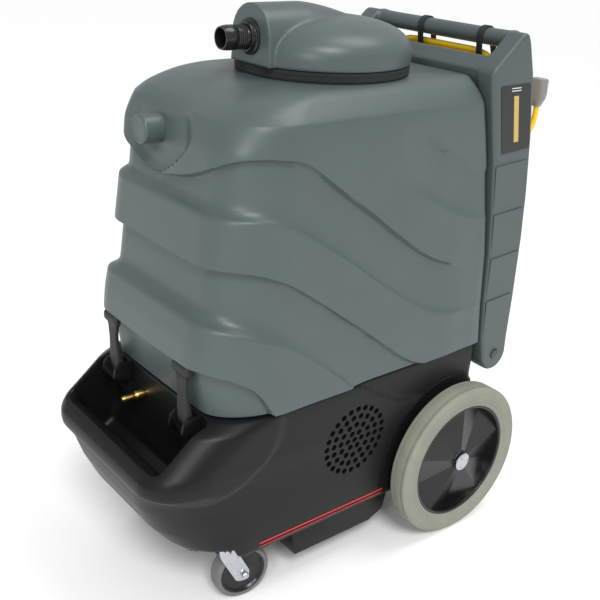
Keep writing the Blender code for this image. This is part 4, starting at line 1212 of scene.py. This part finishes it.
def fold(sign):
    """One fifth of the wheel's folded face: a ridge in the middle and half a valley on each side."""
    bm = bmesh.new()
    half = math.pi / 5
    deep = sign * (OUT_X - 0.036)

    def at(radius, angle, x):
        return bm.verts.new((x, radius * math.sin(angle), radius * math.cos(angle)))

    hub_x, ridge_x, valley_x = sign * (OUT_X - 0.0052), sign * (OUT_X - 0.0095), sign * (OUT_X - 0.0300)
    reach = 0.1085
    top = [
        at(0.0150, -half, hub_x), at(0.0150, half, hub_x), at(reach / math.cos(half / 2), half, valley_x),
        at(reach, half / 2, (ridge_x + valley_x) / 2), at(reach / math.cos(half / 2), 0, ridge_x),
        at(reach, -half / 2, (ridge_x + valley_x) / 2), at(reach / math.cos(half / 2), -half, valley_x),
    ]
    crest = at(0.0150, 0, hub_x)
    low = [bm.verts.new((deep, v.co.y, v.co.z)) for v in top]
    bm.faces.new((top[1], top[2], top[3], crest))
    bm.faces.new((top[3], top[4], crest))
    bm.faces.new((top[4], top[5], crest))
    bm.faces.new((top[5], top[6], top[0], crest))
    bm.faces.new((top[0], top[1], crest))
    bm.faces.new(low)
    for i in range(7):
        j = (i + 1) % 7
        bm.faces.new((top[i], top[j], low[j], low[i]))
    return bm


def wheel(side, sign):
    at = (0, AXLE_Y, WHEEL_R)
    rim = RIM_R - 0.0003
    outline = [
        (
            0.0083, IN_X + 0.001
        ), (0.024, IN_X + 0.001), (0.030, IN_X + 0.014), (0.098, IN_X + 0.016), (0.105, IN_X + 0.005),
        (rim, IN_X + 0.005), (rim, OUT_X - 0.0052), (
            0.1125, OUT_X - 0.0044
        ), (0.1095, OUT_X - 0.0060), (0.1070, OUT_X - 0.0300),
        (0.0330, OUT_X - 0.0320), (0.0205, OUT_X - 0.0060), (0.0195, OUT_X - 0.0036), (0.0083, OUT_X - 0.0030),
    ]
    disc = thing(f"wheel_disc_{side}", turned(soft(sided(outline, sign), 0.0014, 3), "X", at, 120))
    keep(disc, f"wheel_{side}", "wheel_black", [f"wheel_{side}"], 40)
    folds = around(f"wheel_folds_{side}", fold(sign), 5, "X", at, "wheel_black")
    keep(folds, f"wheel_{side}", "wheel_black", sharp=8)
    cap = [
        (0, OUT_X + 0.0038), (
            0.0070, OUT_X + 0.0038
        ), (0.0125, OUT_X + 0.0030), (0.0175, OUT_X + 0.0010), (0.0175, OUT_X - 0.0012),
        (0.0083, OUT_X - 0.0012), (0.0083, OUT_X + 0.0013), (0, OUT_X + 0.0013),
    ]
    cap = thing(f"wheel_cap_{side}", turned(sided(cap, sign), "X", at, 64))
    notch = box((-0.0011, 0.0085, -0.0008), (0.0011, 0.0150, 0.0008))
    bmesh.ops.translate(notch, verts=notch.verts, vec=(sign * (OUT_X + 0.0030), 0, 0))
    notches = around(f"notch_{side}", notch, 3, "X", at, "zinc")
    carve(cap, [notches])
    keep(cap, "base", "zinc", [f"axle_cap_{side}"])


for side, sign in SIDES:
    tyre(side, sign)
    wheel(side, sign)

CASTER_R, TRAIL, CASTER_W = 0.0508, 0.034, 0.032


def caster(side, sign):
    angle = math.radians(8 if side == "left" else -8)
    turn = Matrix.Rotation(angle, 4, "Z")
    pivot = Vector((sign * 0.147, -0.202, 0)) + turn @ Vector((0, -TRAIL, 0))
    swivel = Matrix.Translation(pivot) @ turn
    fixed = Matrix.Translation(pivot)
    top = 0.130 - 0.0003

    def put(name, bm, matrix, body, look, replaced, bevel=0.0, sharp=38):
        bm.transform(matrix)
        obj = thing(name, bm)
        if bevel:
            rounded(obj, bevel, 2)
        return keep(obj, body, look, replaced, sharp)

    plate = soft([(-0.022, -0.030), (0.022, -0.030), (0.022, 0.034), (-0.022, 0.034)], 0.006)
    bolt_heads = [
        turned(
            soft([(0, top - 0.0055), (0.0042, top - 0.0055), (0.0050, top - 0.0028), (0, top - 0.0028)], 0.0008),
            "Z", (x, y, 0), 24
        )
        for x in (-0.016, 0.016) for y in (-0.024, 0.027)
    ]
    race = turned(
        soft([
            (0, top - 0.0070), (0.019, top - 0.0070), (0.0205, top - 0.0045), (0.0205, top - 0.002),
            (0, top - 0.002),
        ], 0.0012)
    )
    mount = together(slab(plate, top - 0.003, top, "Z"), race, *bolt_heads)
    put(f"caster_top_{side}", mount, fixed, "base", "zinc", [f"caster_plate_{side}"])
    leg_in, leg_out = CASTER_W / 2 + 0.002, CASTER_W / 2 + 0.0045
    crown_top = top - 0.0073
    crown_low = crown_top - 0.003
    leg = soft([
        (-0.015, crown_top - 0.0005), (0.014, crown_top - 0.0005), (0.027, 0.088), (TRAIL + 0.009, 0.057),
        (TRAIL + 0.008, 0.043), (TRAIL, 0.039), (0.018, 0.042), (-0.013, 0.101),
    ], 0.006)
    crown = rod(0.0215, crown_low, crown_top, "Z", (0, 0, 0), 48)
    bridge = box((-leg_out, -0.014, crown_low), (leg_out, 0.013, crown_top - 0.0004))
    fork = thing(f"caster_yoke_{side}", crown)
    parts = [
        thing("leg_a", slab(leg, -leg_out, -leg_in)), thing("leg_b", slab(leg, leg_in, leg_out)),
        thing("bridge", bridge)
    ]
    carve(fork, parts, "UNION")
    rounded(fork, 0.0008, 2, 40)
    fork.data.transform(swivel)
    keep(fork, f"caster_swivel_{side}", "zinc", [f"caster_fork_{side}"])
    bolt = [
        (0, -leg_out - 0.007), (0.0060, -leg_out - 0.007), (
            0.0065, -leg_out - 0.0060
        ), (0.0065, -leg_out - 0.0003),
        (
            0.004, -leg_out - 0.0003
        ), (0.004, leg_out + 0.0003), (0.0065, leg_out + 0.0003), (0.0065, leg_out + 0.0050),
        (0.0055, leg_out + 0.006), (0, leg_out + 0.006),
    ]
    axle = (0, TRAIL, CASTER_R)
    put(
        f"caster_pin_{side}", turned(bolt, "X", axle, 6), swivel, f"caster_swivel_{side}", "zinc",
        [f"caster_bolt_{side}"], 0.0003
    )
    half = CASTER_W / 2
    core_r = CASTER_R - 0.0095
    core = soft([
        (0.0043, -half - 0.001), (0.010, -half - 0.001), (0.012, -half + 0.004), (
            core_r - 0.006, -half + 0.006
        ),
        (core_r - 0.003, -half + 0.001), (core_r - 0.0003, -half + 0.001), (core_r - 0.0003, half - 0.001),
        (
            core_r - 0.003, half - 0.001
        ), (core_r - 0.006, half - 0.006), (0.012, half - 0.004), (0.010, half + 0.001),
        (0.0043, half + 0.001),
    ], 0.001, 2)
    put(
        f"caster_core_{side}", turned(core, "X", axle, 96), swivel, f"caster_roller_{side}", "wheel_black",
        [f"caster_wheel_{side}"]
    )
    tread = soft([
        (core_r, -half + 0.001), (
            CASTER_R - 0.004, -half + 0.0005
        ), (CASTER_R, -half + 0.005), (CASTER_R, half - 0.005),
        (CASTER_R - 0.004, half - 0.0005), (core_r, half - 0.001),
    ], 0.003)
    put(
        f"caster_tyre_{side}", turned(tread, "X", axle, 96), swivel, f"caster_roller_{side}", "caster_grey",
        [f"caster_tread_{side}"]
    )


for side, sign in SIDES:
    caster(side, sign)

# ---------------------------------------------------------------- latches and solution nipple
PIN_Y, PIN_Z = -0.292, 0.366
# Height over the pin, back, front and half width of the strap
STRAP = (
    (-0.0112, 0.0080, -0.0040, 0.0135), (-0.0060, 0.0088, -0.0052, 0.0152), (0.0080, 0.0086, -0.0056, 0.0154),
    (0.0240, 0.0052, -0.0060, 0.0146), (0.0400, 0.0018, -0.0062, 0.0128), (0.0520, 0.0008, -0.0066, 0.0120),
    (0.0620, 0.0004, -0.0070, 0.0132), (0.0700, 0.0006, -0.0066, 0.0150), (0.0770, 0.0010, -0.0072, 0.0166),
    (0.0805, 0.0012, -0.0088, 0.0215), (0.0835, 0.0012, -0.0112, 0.0226), (0.0900, 0.0012, -0.0115, 0.0228),
    (0.0950, 0.0010, -0.0110, 0.0224), (0.0978, 0.0002, -0.0085, 0.0205),
)


def strap_piece(name, stations, at, body, replaced):
    """A moulded rubber strap: rounded cross-sections along its length."""
    rows = []
    for z, back, front, half in stations:
        centre = (at[0], at[1] + (back + front) / 2, at[2] + z)
        rows.append(oval(centre, half, (back - front) / 2, 28, 0.35, 0.5))
    obj = thing(name, skin(rows))
    return keep(rounded(obj, 0.001, 2, 50), body, "rubber_black", replaced, 55)


def latch(side, sign):
    x = sign * LATCH_X
    strap_piece(f"latch_rubber_{side}", STRAP, (x, PIN_Y, PIN_Z), f"latch_{side}", [f"latch_strap_{side}"])
    outline = [(-0.2726, 0.3733), (-0.2726, 0.334), (-0.309, 0.348), (-0.306, 0.366), (-0.298, 0.3733)]
    bracket = thing(f"latch_foot_{side}", slab(outline, x - 0.022, x + 0.022))
    carve(bracket, [thing("slot", box((x - 0.0165, -0.320, 0.350), (x + 0.0165, -0.276, 0.400)))])
    keep(rounded(bracket, 0.0012, 2), "base", "base_black", [f"latch_bracket_{side}"])


for side, sign in SIDES:
    latch(side, sign)

nipple = [
    (
        0.0030, -0.3138
    ), (0.0046, -0.3138), (0.0061, -0.3080), (0.0048, -0.3075), (0.0061, -0.3010), (0.0048, -0.3005),
    (
        0.0061, -0.2940
    ), (0.0055, -0.2935), (0.0055, -0.2880), (0.0090, -0.2878), (0.0095, -0.2870), (0.0095, -0.2727),
    (0.0080, -0.2727), (0.0080, -0.2520), (0.0030, -0.2520),
]
keep(thing("solution_port", turned(nipple, "Y", NIPPLE, 48)), "base", "brass", ["solution_nipple"])

# ---------------------------------------------------------------- plates and controls
LABEL = ((0.2730, 0.8565), (0.2970, 0.7385), (0.3700, 0.7425), (0.3496, 0.8575))
for side, sign in SIDES:
    plate = thing(f"name_plate_{side}", slab(soft(LABEL, 0.004), *span(sign, 0.1972, 0.1990)))
    keep(plate, "tank", "label_black", [f"side_label_{side}"])
    low, high = span(sign, 0.1985, 0.19925)
    bar = [(0.3089, 0.838), (0.3241, 0.757), (0.3361, 0.757), (0.3209, 0.838)]
    keep(thing(f"plate_bar_{side}", slab(bar, low, high)), "tank", "label_gold")
    lines = []
    for z in (0.8505, 0.8460):
        start = 0.2993 + (0.8575 - z) * 0.1866
        lines.append(
            slab([(start, z), (start, z + 0.0016), (start + 0.024, z + 0.0016), (start + 0.024, z)], low, high)
        )
    keep(thing(f"plate_lines_{side}", together(*lines)), "tank", "label_pale")
    bolt = [
        (0, 0.2008), (0.0088, 0.2008), (0.0105, 0.1998), (0.0105, 0.1985), (0.006, 0.1985), (0.006, 0.120),
        (0.010, 0.1195), (0.010, 0.112), (0, 0.112),
    ]
    bolt = thing(f"hinge_bolt_{side}", turned(sided(bolt, sign), "X", (0, PIVOT_Y, PIVOT_Z), 48))
    keep(bolt, "base", "screw_dark", [f"pivot_bolt_{side}"])

back = PANEL_BACK + 0.0003
plate = thing(
    "control_plate",
    slab(soft([(-0.090, 0.452), (0.090, 0.452), (0.090, 0.596), (-0.090, 0.596)], 0.006), back, back + 0.004, "Y")
)
wells = [
    thing("well", box((x - 0.0115, back - 0.01, 0.4835), (x + 0.0115, back + 0.01, 0.5165)))
    for x in (-0.055, 0.0, 0.055)
]
carve(plate, wells)
keep(rounded(plate, 0.0007, 2), "tank", "gloss_black", ["switch_plate"])
for i, x in enumerate((-0.055, 0.0, 0.055)):
    outline = [
        (0.0040, -0.0148), (0.0100, -0.0142), (0.0078, -0.0050), (0.0066, 0.0040), (0.0060, 0.0142),
        (0.0040, 0.0148), (0, 0)
    ]
    tip = slab([(back + 0.0012 + a, 0.500 + b) for a, b in outline], x - 0.0105, x + 0.0105)
    keep(
        rounded(thing(f"switch_{i + 1}", tip), 0.0005, 2), f"rocker_{i + 1}", "rocker_red", [f"rocker_{i + 1}"]
    )
gauge = soft([
    (0, back + 0.0043), (0.021, back + 0.0043), (0.021, back + 0.0150), (0.0192, back + 0.0160),
    (0.0186, back + 0.0140), (0, back + 0.0140),
], 0.0005, 2)
keep(thing("gauge_body", turned(gauge, "Y", GAUGE, 64)), "tank", "gauge_white", ["pressure_gauge"])
tick = box((-0.00035, back + 0.0135, 0.0140), (0.00035, back + 0.0146, 0.0172))
ticks = around("gauge_ticks", tick, 24, "Y", GAUGE, "gloss_black")
keep(ticks, "tank", "gloss_black")
hand = slab(
    [(0.0445, 0.560), (0.0455, 0.560), (0.0572, 0.5762), (0.0566, 0.5766)], back + 0.0138, back + 0.0148, "Y"
)
keep(thing("gauge_hand", hand), "tank", "rocker_red")
flute = rod(0.0014, back + 0.0060, back + 0.0198, "Y", (0, 0, 0.0117), 10)
knob = [(0, back + 0.0043), (0.012, back + 0.0043), (0.011, back + 0.020), (0, back + 0.020)]
knob = thing("knob_grip", turned(soft(knob, 0.0010), "Y", KNOB, 64))
flutes = around("flutes", flute, 16, "Y", KNOB, "gloss_black")
carve(knob, [flutes])
keep(knob, "pressure_knob", "gloss_black", ["pressure_knob"])
spout = [
    (0.0150, back + 0.012), (0.0150, back + 0.034), (0.019, back + 0.034), (0.019, back), (0, back),
    (0, back + 0.012)
]
spout = together(
    turned(soft(spout, 0.0008), "Y", (DRAIN_X, 0, DRAIN_Z), 64),
    turned([(0, 0.4485), (0.006, 0.4485), (0.006, 0.4560), (0, 0.4560)], "Z", (DRAIN_X, back + 0.017, 0), 32),
)
keep(thing("drain_spout", spout), "tank", "gloss_black", ["drain_valve"])
lever = soft(
    [(-0.006, -0.008), (0.010, -0.008), (0.046, -0.005), (0.046, 0.005), (0.010, 0.008), (-0.006, 0.008)], 0.003
)
lever = [(DRAIN_X + a, back + 0.017 + b) for a, b in lever]
keep(
    rounded(thing("drain_handle", slab(lever, 0.4563, 0.4623, "Z")), 0.001, 2), "drain_lever", "rocker_red",
    ["drain_lever"]
)

# ---------------------------------------------------------------- cord fittings
relief = [
    (0.0055, 0.318), (0.0082, 0.318), (0.0082, PANEL_BACK + 0.0003), (0.0125, PANEL_BACK + 0.0003),
    (0.0125, 0.3415)
]
for ridge in range(4):
    y = 0.3425 + ridge * 0.0043
    wide = 0.0098 - ridge * 0.0007
    relief += [(wide, y), (wide, y + 0.0024), (wide - 0.0018, y + 0.0028), (wide - 0.0018, y + 0.0040)]
relief += [(0.0066, 0.3597), (0.0055, 0.3597)]
cord_relief = keep(
    thing("cord_relief", turned(relief, "Y", RELIEF, 48)), "tank", "rubber_black", ["cord_gland"], 45
)

for side, x, low_y, low_z, reach in (
    ("left", -0.045, 0.344, 0.876, 0.0180), ("right", 0.100, 0.3462, 0.8705, 0.0230)
):
    rings = []
    for grow in (0.0006, 0.0028):
        rings.append(
            arc((BAR_Y, BAR_Z), BAR_R + grow, -10, 200, 14) + arc((low_y, low_z), reach + grow, 200, 344, 12)
        )
    bm = bmesh.new()
    count = len(rings[0])
    loops = []
    for ring, edge in ((rings[0], -0.0065), (rings[1], -0.0065), (rings[1], 0.0065), (rings[0], 0.0065)):
        loops.append([bm.verts.new((x + edge, y, z)) for y, z in ring])
    for loop, after in zip(loops, loops[1:] + loops[:1]):
        for i in range(count):
            j = (i + 1) % count
            bm.faces.new((loop[i], loop[j], after[j], after[i]))
    strap = rounded(thing(f"cord_tie_{side}", bm), 0.0004, 2, 50)
    keep(strap, "tank", "rubber_black", [f"cord_strap_{side}"])

PLUG = (
    (0.7975, 0.0072, 0.0072), (0.8010, 0.0085, 0.0078), (0.8060, 0.0110, 0.0085), (0.8130, 0.0150, 0.0094),
    (0.8220, 0.0163, 0.0098), (0.8360, 0.0160, 0.0097), (0.8450, 0.0163, 0.0098), (0.8478, 0.0150, 0.0088),
)
rows = [oval((0.1385, 0.453, z), half, deep, 32, 0.6, 0.6) for z, half, deep in PLUG]
plug = keep(thing("mains_plug", skin(rows)), "tank", "plug_clear", ["power_plug"], 40)

# ---------------------------------------------------------------- finishes on the carried frame parts
CARRIED = {
    "rear_axle": "steel", "standpipe": "pipe_white", "float_cage": "hose_grey", "float_ball": "pipe_white",
    "vacuum_motor_1": "motor_metal", "vacuum_motor_2": "motor_metal", "solution_pump": "pump_blue",
    "pump_hose": "hose_grey", "vacuum_duct": "hose_grey", "electrical_box": "box_grey",
}
for node, look in CARRIED.items():
    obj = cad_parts[node]
    obj.data.materials.clear()
    obj.data.materials.append(LOOKS[look])
